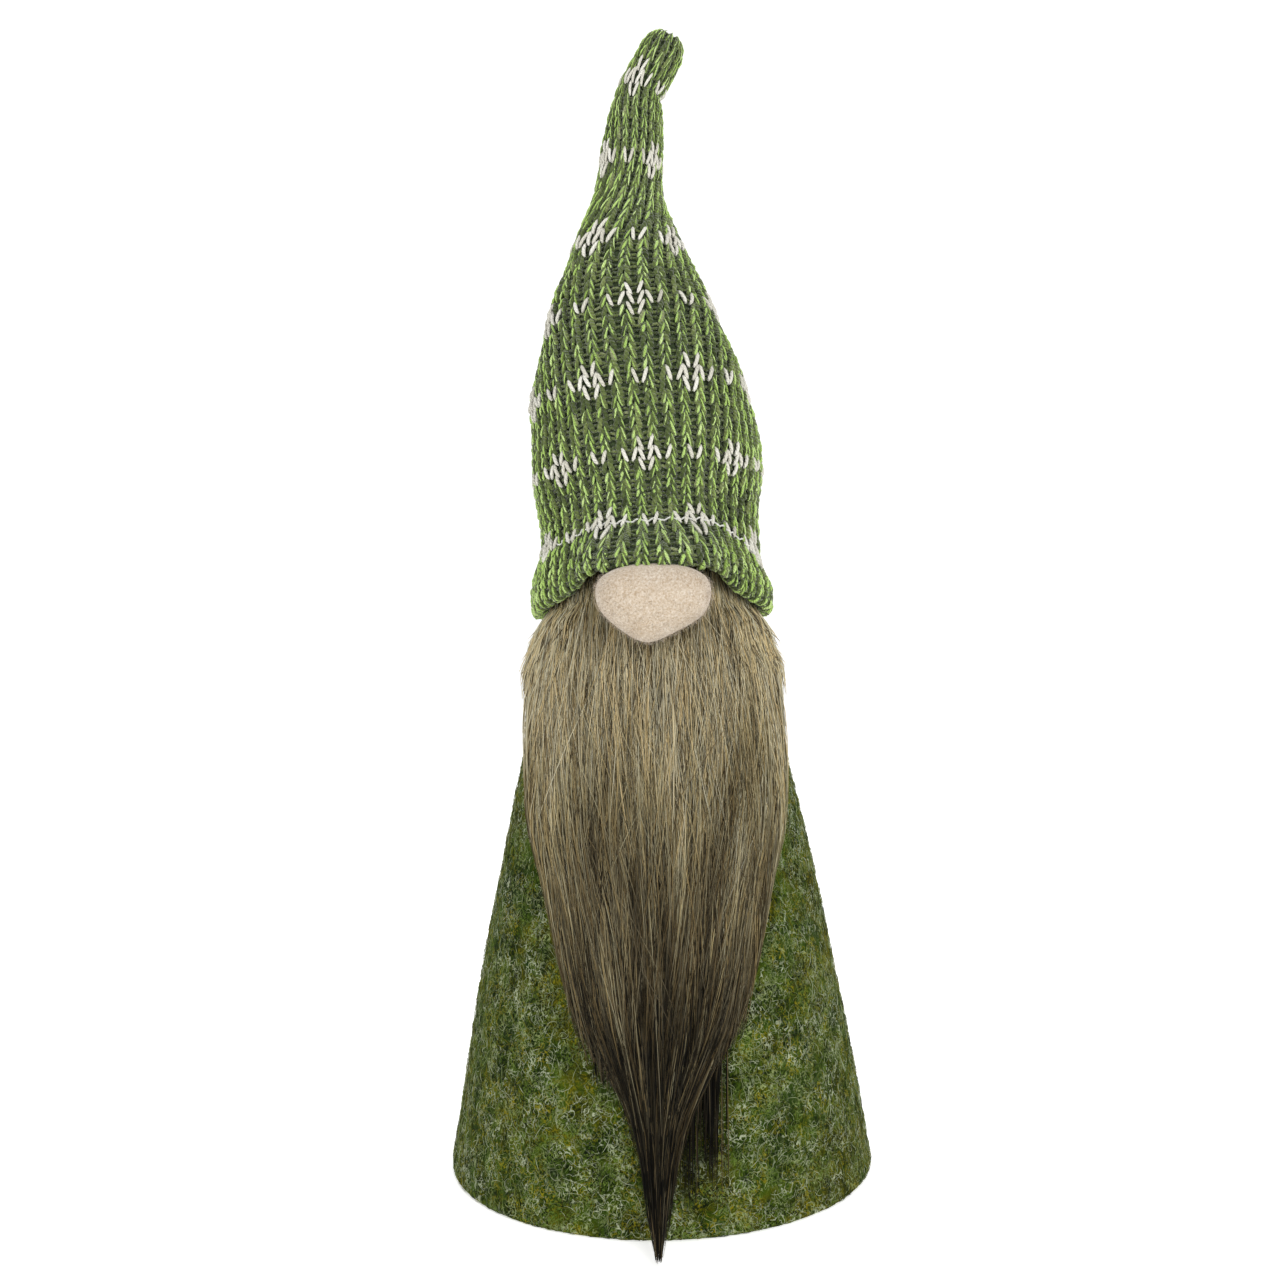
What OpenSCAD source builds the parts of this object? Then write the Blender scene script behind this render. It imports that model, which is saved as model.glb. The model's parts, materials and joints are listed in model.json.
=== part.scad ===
// Tomte gnome figurine: a stuffed felt cone on a weighted base, a knitted hat with a wired tail,
// a fleece nose and a long-pile fur beard. Millimetres, +Z up, -Y is the face.
// The origin is the centre of the base, on the surface that the figurine stands on.

/* [Body] */
// Diameter of the felt cone at the base
base_d = 132; // [124:1:140]
// Height of the felt cone, whose top is hidden in the hat
cone_h = 200; // [197:1:201]
// Diameter of the felt cone at its top
cone_top_d = 47; // [42:1:48]
// How far the stuffing bellies the side out at half height
cone_belly = 3; // [1:0.5:3.5]
// Thickness of the felt
felt_t = 2; // [1.5:0.1:2.5]
// Thickness of the board in the base
board_t = 2; // [1.5:0.5:3]
// Diameter of the sand bag
bag_d = 96; // [80:2:104]
// Height of the sand bag
bag_h = 16; // [12:1:20]

/* [Hat] */
// Thickness of one layer of the knitted fabric
knit_t = 2.2; // [1.8:0.1:2.4]
// Diameter over the rolled hem
hem_d = 77; // [76:0.5:79]
// Height of the rolled hem
hem_h = 22; // [20:0.5:23]
// Diameter over the widest part of the crown
crown_d = 72.8; // [70:0.4:74]
// Lean of the crown to the figurine's right, in degrees
crown_lean = 2.2; // [0:0.2:2.6]
// Lean of the tail back over the crown, in degrees
tail_lean = 4.7; // [0:0.1:8]
// Lean of the tip, in degrees
tip_lean = 24; // [10:1:30]
// Diameter of the wire that holds the tail's shape
wire_d = 1.6; // [1.2:0.1:2]

/* [Nose] */
// Width of the nose
nose_w = 32.8; // [30:0.2:34]
// Height of the nose
nose_h = 24.6; // [23:0.2:25]
// Depth of the nose, front to back
nose_deep = 21; // [19:0.5:21.5]
// Thickness of the fleece
fleece_t = 1.2; // [0.8:0.1:1.5]

/* [Beard] */
// Thickness of the fur's woven backing
backing_t = 1.5; // [1:0.1:1.7]
// Thickness of the combed pile
pile_t = 5; // [4:0.5:5.5]
// Half width of the beard where it is widest
beard_half_w = 38.5; // [34:0.5:40]
// Height at which the loose part of the beard folds
fold_z = 150; // [149:0.5:151]
// How far the beard's tip lies forward on the surface
tip_reach = 84; // [80:1:88]

/* [Thread] */
// Diameter of the sewing thread
thread_d = 0.7; // [0.5:0.1:0.9]
// Stitches up the back of the cone
seam_stitches = 26; // [16:1:32]
// Stitches round the hem
hem_stitches = 44; // [30:1:48]

/* [Hidden] */
$fn = 72;

fit = 0.1;         // gap between soft pieces that touch
free = 0.9;        // gap between the loose beard and the cone
profile_steps = 14;
soft_fn = 32;      // facets of hulled soft shapes
base_r = base_d / 2;
cone_top_r = cone_top_d / 2;
board_top = felt_t + board_t + fit;
bag_t = 0.6;

// Outline of the cone: a straight taper with a parabolic belly
function cone_r(z) =
    let (t = z / cone_h)
    base_r + (cone_top_r - base_r) * t + 4 * cone_belly * t * (1 - t);
function cone_line(z0, z1, off) = [for (i = [0 : profile_steps])
    let (z = z0 + (z1 - z0) * i / profile_steps) [cone_r(z) + off, z]];
function reversed(p) = [for (i = [len(p) - 1 : -1 : 0]) p[i]];
function bezier(p, t) =
    pow(1 - t, 3) * p[0] + 3 * pow(1 - t, 2) * t * p[1] + 3 * (1 - t) * t * t * p[2] + t * t * t * p[3];
function curve(p, n) = [for (i = [0 : n]) bezier(p, i / n)];
function arc(c, r, a0, a1, n) = [for (i = [0 : n])
    let (a = a0 + (a1 - a0) * i / n) [c[0] + r * cos(a), c[1] + r * sin(a)]];

// Hat: the crown leans about the hem, and the tail and the tip each bend about a ball centre
hem_z = 172;                       // bottom of the rolled hem
lean_z = 190;                      // height about which the crown leans
crown_z = hem_z + hem_h;           // the hem's stitch line
line_r = 34;                       // the hat's radius at that line
crown_r = crown_d / 2;
hem_r = hem_d / 2;
hem_in_r = 33;                     // room for the cone and the fur's backing
neck_z = 296;                      // height of the tail's ball on the unleant hat
tail_ball_r = 12.2;
tail_len = 40.1;                   // from the tail's ball to the tip's ball
tip_ball_r = 8;
tip_len = 14.8;                    // from the tip's ball to the centre of its round end
tip_end_r = 7.4;
socket_gap = 0.6;                  // between a ball and the socket that it turns in
tail_rim = 7;                      // the crown stops this far below the tail's ball
tip_rim = 6.7;                     // the tail stops this far below the tip's ball
loop_r = 3;                        // eye bent into each end of the wire
wire_foot = 212;                   // height of the lower eye

crown_outline = concat(
    curve([[line_r, crown_z], [line_r, crown_z + 8], [crown_r, 210], [crown_r, 220]], 6),
    curve([[crown_r, 220], [crown_r, 240], [26, 268], [14, neck_z + 1]], 10));
tail_outline = [[tail_ball_r, 0], [11.4, 8], [10.3, 16], [10.3, 24], [9.2, 31], [8.6, 37]];

module turn_about(z, angle) translate([0, 0, z]) rotate([0, angle, 0]) translate([0, 0, -z]) children();
module leaning_crown() turn_about(lean_z, -crown_lean) children();
module at_tail() leaning_crown() translate([0, 0, neck_z]) rotate([0, crown_lean + tail_lean, 0]) children();
module at_tip() at_tail() translate([0, 0, tail_len]) rotate([0, tip_lean - tail_lean, 0]) children();

// Beard: what shows from the front, as half widths at heights
beard_half = [[24, fold_z - 0.4], [beard_half_w - 5.5, 140], [beard_half_w, 122], [beard_half_w - 1.5, 100],
    [23.5, 57], [6, 29], [2, 6]];
whisker_z = 133;                              // lower edge of the fur that wraps the sides
nose_z = 177.5;
nose_round = nose_deep / 2;                   // radius of the two upper lobes
nose_low_round = nose_round - 1.5;            // radius of the lower lobe
nose_y = -(cone_r(nose_z) + backing_t + 1.8 + nose_round);
collar_turn = 200;                            // the fur's wrap about the cone, in degrees

module ring(points) rotate_extrude() polygon(points);
module collar(points) rotate([0, 0, 270 - collar_turn / 2])
    rotate_extrude(angle = collar_turn) polygon(points);
module shell(z0, z1, inner, outer) ring(concat(cone_line(z0, z1, inner), reversed(cone_line(z0, z1, outer))));

// ---- body ----
module felt_cone() color("olivedrab")
    shell(0, cone_h, -felt_t, 0);

module cone_top_felt() color("darkolivegreen")
    translate([0, 0, cone_h - felt_t - fit]) cylinder(r = cone_r(cone_h) - felt_t - fit, h = felt_t);

module back_seam_stitches() color("darkolivegreen")
    for (i = [0 : seam_stitches - 1]) {
        z = 8 + i * 160 / seam_stitches;
        length = 160 / seam_stitches * 0.62;
        slope = atan((cone_r(z) - cone_r(z + length)) / length);
        translate([0, cone_r(z) + thread_d, z]) rotate([slope, 0, 0]) cylinder(d = thread_d, h = length);
    }

module base_felt() color("darkolivegreen")
    cylinder(r = cone_r(felt_t) - felt_t - fit, h = felt_t);

module base_board() color("tan")
    translate([0, 0, felt_t]) cylinder(r = cone_r(felt_t + board_t) - felt_t - fit, h = board_t);

// The bag lies on the board: a flat round pillow with a half-round edge
module pillow(shrink) translate([0, 0, board_top + bag_h / 2]) {
    half = bag_h / 2 - shrink;
    ring(concat([[0, -half]], arc([bag_d / 2 - bag_h / 2, 0], half, -90, 90, 10), [[0, half]]));
}

module sand_bag() color("white") difference() {
    pillow(0);
    pillow(bag_t);
}

module sand_fill() color("khaki") pillow(bag_t + fit / 2);

module body_stuffing() color("whitesmoke") difference() {
    high = cone_h - felt_t - 2 * fit;
    ring(concat([[0, board_top]], cone_line(board_top, high, -felt_t - fit), [[0, high]]));
    pillow(-fit);
}

// ---- beard ----
// The loose fur is cut to this outline, seen from the front, and lies on the cone
module beard_cut(grow, top) rotate([90, 0, 0]) linear_extrude(base_d) {
    side = concat([[beard_half[0][0] + grow, top]], [for (p = beard_half) [p[0] + grow, p[1]]]);
    polygon(concat(side, reversed([for (p = side) [-p[0], p[1]]])));
}

module beard_backing_top() color("tan") difference() {
    collar(concat(cone_line(whisker_z + 2, 192, fit), reversed(cone_line(whisker_z + 2, 192, backing_t))));
    beard_cut(0.8, fold_z + 0.4);
}

module beard_fur_top() color("darkkhaki") difference() {
    inner = cone_line(whisker_z, 169.5, backing_t + fit);
    outer = cone_line(whisker_z + 3, 168, backing_t + pile_t);
    collar(concat(inner, reversed(outer)));
    beard_cut(0.8, fold_z + 0.4);
    nose_lobes(fit);
}

module beard_backing() color("tan") intersection() {
    shell(24, fold_z - 0.4, free, free + backing_t - fit);
    beard_cut(0, fold_z);
}

module beard_fur() color("dimgray") {
    difference() {
        intersection() {
            shell(5, fold_z - 0.4, free, free + backing_t + pile_t);
            beard_cut(0, fold_z);
        }
        shell(20, fold_z + 2, 0, free + backing_t);
    }
    hull() {
        translate([0, -cone_r(8) - free - 3, 9]) sphere(r = 2, $fn = soft_fn);
        translate([0, -tip_reach, 2.6]) sphere(r = 1.6, $fn = soft_fn);
    }
}

// ---- nose ----
module nose_lobes(grow) translate([0, nose_y, 0]) hull() {
    for (side = [-1, 1])
        translate([side * (nose_w / 2 - nose_round), 0, nose_z]) sphere(r = nose_round + grow, $fn = soft_fn);
    translate([0, 0, nose_z + nose_round - nose_h + nose_low_round])
        sphere(r = nose_low_round + grow, $fn = soft_fn);
}

module nose_fleece() color("bisque") difference() {
    nose_lobes(0);
    nose_lobes(-fleece_t);
}

module nose_stuffing() color("white") nose_lobes(-fleece_t - fit);

module nose_knot() color("wheat")
    translate([0, nose_y + nose_round + fit, nose_z - 1]) rotate([-90, 0, 0]) cylinder(d = 5, h = 0.7);

module nose_glue() color("ivory") for (side = [-1, 1])
    translate([side * 2.4, nose_y + nose_round + fit, nose_z + 3.4]) rotate([-90, 0, 0])
        cylinder(d = 2.6, h = 1.2);

// ---- hat, from the hem up ----
module hat_hem() color("olivedrab") leaning_crown() difference() {
    width = (hem_r - hem_in_r) / 2;
    ring(concat(
        [[hem_in_r, crown_z - fit], [hem_in_r, hem_z + width]],
        arc([hem_in_r + width, hem_z + width], width, 180, 360, 10),
        [[hem_r, hem_z + 8], [hem_r - 2, crown_z - 6], [line_r, crown_z - fit]]));
    turn_about(lean_z, crown_lean) nose_lobes(6 * fit);
}

module hem_thread() color("white") leaning_crown() for (i = [0 : hem_stitches - 1])
    rotate([0, 0, 360 * (i + 0.5) / hem_stitches]) translate([line_r + thread_d, 0, crown_z + 0.2])
        rotate([90, 0, 0]) cylinder(d = thread_d, h = 1.6 * line_r * sin(180 / hem_stitches), center = true);

module crown_shape(inset_by, base) difference() {
    ring(concat([[0, base]], [for (p = crown_outline) if (p[1] >= base) [p[0] - inset_by, p[1]]],
        [[0, crown_outline[len(crown_outline) - 1][1]]]));
    translate([0, 0, neck_z]) sphere(r = tail_ball_r + socket_gap);
    translate([0, 0, neck_z - tail_rim]) cylinder(r = crown_r, h = 20);
}

module hat_crown() color("olivedrab") leaning_crown() difference() {
    crown_shape(0, crown_z);
    crown_shape(knit_t, crown_z - 5);
    translate([0, 0, crown_z - 5]) cylinder(r = line_r - knit_t, h = 8);
}

module hat_glue() color("ivory") for (turn = [40 : 25 : 140])
    rotate([0, 0, turn - 4]) rotate_extrude(angle = 8) polygon([
        [cone_r(178) + fit, 178], [hem_in_r - 0.9, 178], [hem_in_r - 0.9, 188], [cone_r(188) + fit, 188]]);

module hat_stuffing() color("whitesmoke") difference() {
    leaning_crown() crown_shape(knit_t + fit, crown_z);
    translate([0, 0, crown_z - 5]) cylinder(r = hem_r, h = cone_h - crown_z + 7);
    leaning_crown() wire_path(wire_foot + loop_r, neck_z, wire_d / 2 + fit);
    leaning_crown() eye(wire_foot, fit);
}

// One straight run of the wire, and the eye bent into its end
module wire_path(z0, z1, r) translate([0, 0, z0]) cylinder(r = r, h = z1 - z0);
module eye(z, grow) translate([0, 0, z]) rotate([90, 0, 0])
    rotate_extrude() translate([loop_r, 0]) circle(d = wire_d + 2 * grow, $fn = 24);

module hat_wire() color("silver") leaning_crown() {
    wire_path(wire_foot + loop_r, neck_z - tail_ball_r - socket_gap, wire_d / 2);
    eye(wire_foot, 0);
}

// ---- the tail bends over the crown ----
module tail_shape(inset_by) difference() {
    union() {
        ring(concat([[0, 0]], [for (p = tail_outline) [p[0] - inset_by, p[1]]], [[0, tail_len - 3.1]]));
        intersection() {
            sphere(r = tail_ball_r - inset_by);
            translate([0, 0, -tail_ball_r]) cylinder(r = tail_ball_r, h = tail_ball_r + 0.01);
        }
    }
    translate([0, 0, tail_len]) sphere(r = tip_ball_r + socket_gap);
    translate([0, 0, tail_len - tip_rim]) cylinder(r = tail_ball_r, h = 20);
}

module hat_tail() color("olivedrab") at_tail() difference() {
    tail_shape(0);
    tail_shape(knit_t);
}

module tail_stuffing() color("whitesmoke") at_tail() difference() {
    tail_shape(knit_t + fit);
    wire_path(-tail_ball_r, tail_len, wire_d / 2 + fit);
}

module tail_wire() color("silver") at_tail()
    wire_path(-tail_ball_r + knit_t + 1, tail_len - tip_ball_r - socket_gap, wire_d / 2);

// ---- the tip bends over the tail ----
module tip_shape(inset_by) union() {
    sphere(r = tip_ball_r - inset_by);
    cylinder(r1 = tip_ball_r - inset_by, r2 = tip_end_r - inset_by, h = tip_len);
    translate([0, 0, tip_len]) sphere(r = tip_end_r - inset_by);
}

module hat_tip() color("olivedrab") at_tip() difference() {
    tip_shape(0);
    tip_shape(knit_t);
}

module tip_stuffing() color("whitesmoke") at_tip() difference() {
    tip_shape(knit_t + fit);
    wire_path(-tip_ball_r, tip_len - loop_r, wire_d / 2 + fit);
    eye(tip_len, fit);
}

module tip_wire() color("silver") at_tip() {
    wire_path(-tip_ball_r + knit_t + 1, tip_len - loop_r, wire_d / 2);
    eye(tip_len, 0);
}

felt_cone();
cone_top_felt();
back_seam_stitches();
base_felt();
base_board();
sand_bag();
sand_fill();
body_stuffing();
beard_backing_top();
beard_fur_top();
beard_backing();
beard_fur();
nose_fleece();
nose_stuffing();
nose_knot();
nose_glue();
hat_hem();
hem_thread();
hat_crown();
hat_glue();
hat_stuffing();
hat_wire();
hat_tail();
tail_stuffing();
tail_wire();
hat_tip();
tip_stuffing();
tip_wire();
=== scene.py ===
import json
import math

import bpy
import numpy as np
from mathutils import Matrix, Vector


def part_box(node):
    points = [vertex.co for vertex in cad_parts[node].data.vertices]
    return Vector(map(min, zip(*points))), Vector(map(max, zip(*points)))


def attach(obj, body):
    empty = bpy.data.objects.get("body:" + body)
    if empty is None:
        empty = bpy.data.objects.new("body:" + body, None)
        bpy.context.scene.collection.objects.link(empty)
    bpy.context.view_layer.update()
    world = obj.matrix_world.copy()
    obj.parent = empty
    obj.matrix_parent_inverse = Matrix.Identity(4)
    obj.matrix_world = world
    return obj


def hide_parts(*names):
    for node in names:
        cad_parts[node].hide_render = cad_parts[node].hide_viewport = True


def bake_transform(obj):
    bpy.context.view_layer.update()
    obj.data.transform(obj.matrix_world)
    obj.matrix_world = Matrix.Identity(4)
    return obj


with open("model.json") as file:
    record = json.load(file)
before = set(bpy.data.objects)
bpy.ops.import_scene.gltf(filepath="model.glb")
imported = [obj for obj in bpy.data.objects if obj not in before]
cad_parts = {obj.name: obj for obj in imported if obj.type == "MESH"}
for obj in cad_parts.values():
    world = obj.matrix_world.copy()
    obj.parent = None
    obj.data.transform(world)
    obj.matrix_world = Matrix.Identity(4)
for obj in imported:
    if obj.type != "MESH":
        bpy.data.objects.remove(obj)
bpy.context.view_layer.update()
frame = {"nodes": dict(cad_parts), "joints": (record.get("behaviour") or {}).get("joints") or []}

mm = 0.001  # every shape below is worked out in millimetres and made in metres
rng = np.random.default_rng(24)


def nodeBox(name):
    # lowest and highest corner of a CAD node, in millimetres
    return [np.array(corner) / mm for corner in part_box(name)]


hinge = {j["name"]: np.array(j["pos_m"]) / mm for j in frame["joints"]}
overhang = 2.1  # how far the cone's felt reaches past the disc under the base
baseRadius = nodeBox("base_felt")[1][0] + overhang
coneHeight = nodeBox("felt_cone")[1][2]
foldHeight = hinge["beard_lift"][2]


def softCurve(x, knots):
    # cubic curve through given (x, y) knots, each slope taken from its neighbours
    kx, ky = np.array(knots, float).T
    slope = np.gradient(ky, kx)
    i = np.clip(np.searchsorted(kx, x, side="right") - 1, 0, len(kx) - 2)
    step = kx[i + 1] - kx[i]
    t = np.clip((x - kx[i]) / step, 0, 1)
    start = (1 + 2 * t) * (1 - t) ** 2 * ky[i] + t * (1 - t) ** 2 * step * slope[i]
    return start + t * t * (3 - 2 * t) * ky[i + 1] - t * t * (1 - t) * step * slope[i + 1]


def smooth(low, high, x):
    # 0 below low, 1 above high, with an eased rise between
    t = np.clip((x - low) / (high - low), 0, 1)
    return t * t * (3 - 2 * t)


def unit(v):
    # vectors divided by their own length
    return v / np.maximum(np.linalg.norm(v, axis=-1, keepdims=True), 1e-9)


def stack(x, y, z):
    # three coordinates, stretched to a common shape, as points
    return np.stack(np.broadcast_arrays(x, y, z), axis=-1)


def makePiece(name, points, faceSets, material, uv=None, marks=None):
    # a smooth mesh from points in millimetres and arrays of three- to many-sided faces
    mesh = bpy.data.meshes.new(name)
    loops = np.concatenate([f.ravel() for f in faceSets]).astype(np.int32)
    sizes = np.concatenate([np.full(len(f), f.shape[1]) for f in faceSets])
    mesh.vertices.add(len(points))
    mesh.vertices.foreach_set("co", (np.asarray(points) * mm).astype(np.float32).ravel())
    mesh.loops.add(len(loops))
    mesh.loops.foreach_set("vertex_index", loops)
    mesh.polygons.add(len(sizes))
    mesh.polygons.foreach_set("loop_start", np.concatenate([[0], np.cumsum(sizes)[:-1]]).astype(np.int32))
    mesh.update(calc_edges=True)
    mesh.polygons.foreach_set("use_smooth", np.ones(len(sizes), bool))
    if uv is not None:
        layer = mesh.uv_layers.new(name="strand")
        layer.data.foreach_set("uv", uv.astype(np.float32).ravel())
    for markName, values in (marks or {}).items():
        mark = mesh.attributes.new(markName, "FLOAT", "POINT")
        mark.data.foreach_set("value", np.asarray(values, np.float32).ravel())
    mesh.materials.append(material)
    made = bpy.data.objects.new(name, mesh)
    bpy.context.scene.collection.objects.link(made)
    return made


def gridFaces(rows, columns, first=0, around=True, inward=False):
    # quads over a grid of points, closed round its columns if asked
    r, c = np.meshgrid(np.arange(rows - 1), np.arange(columns if around else columns - 1), indexing="ij")
    r, c = r.ravel(), c.ravel()
    d = (c + 1) % columns
    quads = np.stack([r * columns + c, r * columns + d, (r + 1) * columns + d, (r + 1) * columns + c], axis=1)
    return first + (quads[:, ::-1] if inward else quads)


def shellFaces(rows, columns, closedTop):
    # outer grid, inner grid, and the rim or the caps that join them into one closed wall
    count = rows * columns
    c = np.arange(columns)
    d = (c + 1) % columns
    faces = [gridFaces(rows, columns), gridFaces(rows, columns, count, inward=True)]
    faces.append(np.stack([c, c + count, d + count, d], axis=1))
    top = (rows - 1) * columns
    if closedTop:
        faces += [(top + c)[None], (top + count + c)[::-1][None]]
    else:
        faces.append(np.stack([top + c, top + d, top + d + count, top + c + count], axis=1))
    return faces


def tubes(centres, outward, radii, sides):
    # one closed tube along each row of centres; outward fixes where each ring starts
    count, rings, _ = centres.shape
    along = unit(np.gradient(centres, axis=1))
    across = unit(np.cross(along, np.broadcast_to(outward, centres.shape)))
    up = np.cross(across, along)
    angle = 2 * np.pi * np.arange(sides) / sides
    ring = up[:, :, None] * np.cos(angle)[:, None] + across[:, :, None] * np.sin(angle)[:, None]
    points = centres[:, :, None] + np.broadcast_to(radii, (count, rings))[:, :, None, None] * ring
    i, j, k = np.meshgrid(np.arange(count), np.arange(rings - 1), np.arange(sides), indexing="ij")
    low = (i * rings + j) * sides
    k2 = (k + 1) % sides
    quads = np.stack([low + k, low + k2, low + sides + k2, low + sides + k], axis=-1).reshape(-1, 4)
    first = np.arange(count)[:, None] * rings * sides + np.arange(sides)
    ends = [first[:, ::-1], first + (rings - 1) * sides]
    steps = np.linalg.norm(np.diff(centres, axis=1), axis=2)
    length = np.concatenate([np.zeros((count, 1)), np.cumsum(steps, axis=1)], axis=1)
    # u is the distance along the strand in millimetres, v the share of the way round it
    corners = [(j, k), (j, k + 1), (j + 1, k + 1), (j + 1, k)]
    quadUv = np.stack([np.stack([length[i, row], spoke / sides], axis=-1) for row, spoke in corners], axis=-2)
    spokes = np.arange(sides) / sides
    endUv = [np.stack(np.broadcast_arrays(length[:, at, None], spokes), axis=-1) for at in (0, -1)]
    uv = np.concatenate([part.reshape(-1, 2) for part in [quadUv] + endUv])
    return points.reshape(-1, 3), [quads] + ends, uv


def makeStrands(name, centres, outward, radii, sides, material, **marks):
    # a bundle of tubes as one piece; each mark is one value per strand or per ring
    points, faces, uv = tubes(centres, outward, radii, sides)
    spread = {
        key: np.repeat(np.broadcast_to(np.asarray(value).reshape(len(centres), -1), centres.shape[:2]), sides)
        for key, value in marks.items()
    }
    return makePiece(name, points, faces, material, uv, spread)


def linear(hexColour):
    # sRGB hex to linear light
    parts = [int(hexColour[i:i + 2], 16) / 255 for i in (1, 3, 5)]
    return [c / 12.92 if c <= 0.04045 else ((c + 0.055) / 1.055) ** 2.4 for c in parts] + [1]


def addNode(tree, kind, settings=None, links=None):
    # one shader node with its settings, its ramp's stops and its links
    made = tree.nodes.new(kind)
    for key, value in (settings or {}).items():
        if key == "stops":
            while len(made.color_ramp.elements) < len(value):
                made.color_ramp.elements.new(0.5)
            for element, (place, shade) in zip(made.color_ramp.elements, value):
                element.position = place
                element.color = linear(shade)
        elif isinstance(key, int) or key in made.inputs:
            made.inputs[key].default_value = value
        else:
            setattr(made, key, value)
    for socket, source in (links or {}).items():
        tree.links.new(source, made.inputs[socket])
    return made


def newMaterial(name, settings):
    # a material with its Principled surface set; returns it and its tree
    material = bpy.data.materials.new(name)
    material.use_nodes = True
    for key, value in settings.items():
        material.node_tree.nodes["Principled BSDF"].inputs[key].default_value = value
    return material, material.node_tree


def noise(tree, size, settings=None, kind="ShaderNodeTexNoise"):
    # a pattern fixed to the object: cells per metre = 1000 / their size in millimetres
    place = tree.nodes.get("Texture Coordinate") or addNode(tree, "ShaderNodeTexCoord")
    outputs = addNode(tree, kind, {"Scale": 1000 / size, **(settings or {})},
                      {"Vector": place.outputs["Object"]}).outputs
    return outputs["Fac"] if "Fac" in outputs else outputs["Distance"]


def calc(tree, operation, *values):
    # one step of arithmetic on sockets and numbers
    numbers = {i: v for i, v in enumerate(values) if not isinstance(v, bpy.types.NodeSocket)}
    sockets = {i: v for i, v in enumerate(values) if i not in numbers}
    return addNode(tree, "ShaderNodeMath", {"operation": operation, **numbers}, sockets).outputs[0]


def ramp(tree, stops, source):
    # a value turned into a colour
    return addNode(tree, "ShaderNodeValToRGB", {"stops": stops}, {"Fac": source}).outputs["Color"]


def strandMark(tree, name):
    # a number that each strand or each ring of it carries
    return addNode(tree, "ShaderNodeAttribute", {"attribute_name": name}).outputs["Fac"]


def surface(material, colour, height=None, strength=0.0, depth=0.0):
    # gives the shader its colour and, from a height, its relief
    tree = material.node_tree
    shader = tree.nodes["Principled BSDF"]
    tree.links.new(colour, shader.inputs["Base Color"])
    if height is not None:
        bump = addNode(tree, "ShaderNodeBump", {"Strength": strength, "Distance": depth}, {"Height": height})
        tree.links.new(bump.outputs["Normal"], shader.inputs["Normal"])
    return material


def noiseMaterial(name, settings, shades, size, strength, depth, kind="ShaderNodeTexNoise", pattern=None):
    # one fine pattern for both colour and relief
    material, tree = newMaterial(name, settings)
    grain = noise(tree, size, pattern, kind)
    return surface(material, ramp(tree, shades, grain), grain, strength, depth)


# the camera stands level with the middle of the beard, and the lights are large and soft
view = {"lens": 39.9, "distance": 450.5, "height": 163.5, "side": -4.0, "roll": 1.0}
cameraData = bpy.data.cameras.new("camera")
cameraData.lens = view["lens"]
cameraData.sensor_width = 36
cameraObject = bpy.data.objects.new("camera", cameraData)
cameraObject.location = (view["side"] * mm, -view["distance"] * mm, view["height"] * mm)
cameraObject.rotation_euler = (math.pi / 2, math.radians(view["roll"]), 0)
bpy.context.scene.collection.objects.link(cameraObject)
bpy.context.scene.camera = cameraObject
bpy.context.scene.view_settings.view_transform = "Standard"

lamps = {
    # name: (place in metres, size in metres, power in watts)
    "key": ((0.55, -1.0, 0.75), 0.9, 8.5),
    "fill": ((-0.9, -0.8, 0.35), 1.1, 4.5),
    "top": ((0.0, 0.1, 1.3), 1.0, 4.5),
    "back": ((0.1, 1.1, 0.7), 1.0, 3.0),
}
for lampName, (place, size, power) in lamps.items():
    lampData = bpy.data.lights.new(lampName, "AREA")
    lampData.shape = "DISK"
    lampData.size = size
    lampData.energy = power
    lampObject = bpy.data.objects.new(lampName, lampData)
    lampObject.location = place
    toward = np.array([0, 0, 0.17]) - np.array(place)
    flat = math.hypot(toward[0], toward[1])
    swing = math.atan2(toward[1], toward[0]) - math.pi / 2
    lampObject.rotation_euler = (math.atan2(flat, -toward[2]), 0, swing)
    bpy.context.scene.collection.objects.link(lampObject)

world = bpy.data.worlds.new("studio")
world.use_nodes = True
world.node_tree.nodes["Background"].inputs["Color"].default_value = (1, 1, 1, 1)
world.node_tree.nodes["Background"].inputs["Strength"].default_value = 0.4
bpy.context.scene.world = world

# translucent white acrylic, lit evenly from behind, so the cove shows no corner and casts no colour
stageWhite, _ = newMaterial("back-lit white acrylic cove", {
    "Base Color": linear("#f4f4f2"), "Roughness": 0.9,
    "Emission Color": linear("#ffffff"), "Emission Strength": 0.5})
stage = {"halfWidth": 3000.0, "front": -1500.0, "back": 1600.0, "bend": 700.0, "height": 2600.0}
bendAngle = np.linspace(0, np.pi / 2, 13)
coveY = np.concatenate([[stage["front"]], stage["back"] + stage["bend"] * np.sin(bendAngle)])
coveZ = np.concatenate([[0], stage["bend"] * (1 - np.cos(bendAngle))])
coveY, coveZ = np.append(coveY, coveY[-1]), np.append(coveZ, stage["height"])
coveGrid = stack(np.array([-1, 1]) * stage["halfWidth"], coveY[:, None], coveZ[:, None])
cove = makePiece("studio_cove", coveGrid.reshape(-1, 3), [gridFaces(len(coveY), 2, around=False)], stageWhite)
print("camera, light and stage are made")

cone = {
    "topRadius": 23.5, "belly": 3.0, "thick": 2.0, "edgeRound": 1.6,
    "lump": 0.16,          # how far the stuffing pushes the felt in and out
    "seamDepth": 0.9, "seamWidth": 1.3,
    "columns": 168, "rows": 80,
}


def coneRadius(z):
    # straight taper from the base to the top, with a parabola's belly
    t = np.clip(z / coneHeight, 0, 1)
    return baseRadius + (cone["topRadius"] - baseRadius) * t + 4 * cone["belly"] * t * (1 - t)


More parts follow.
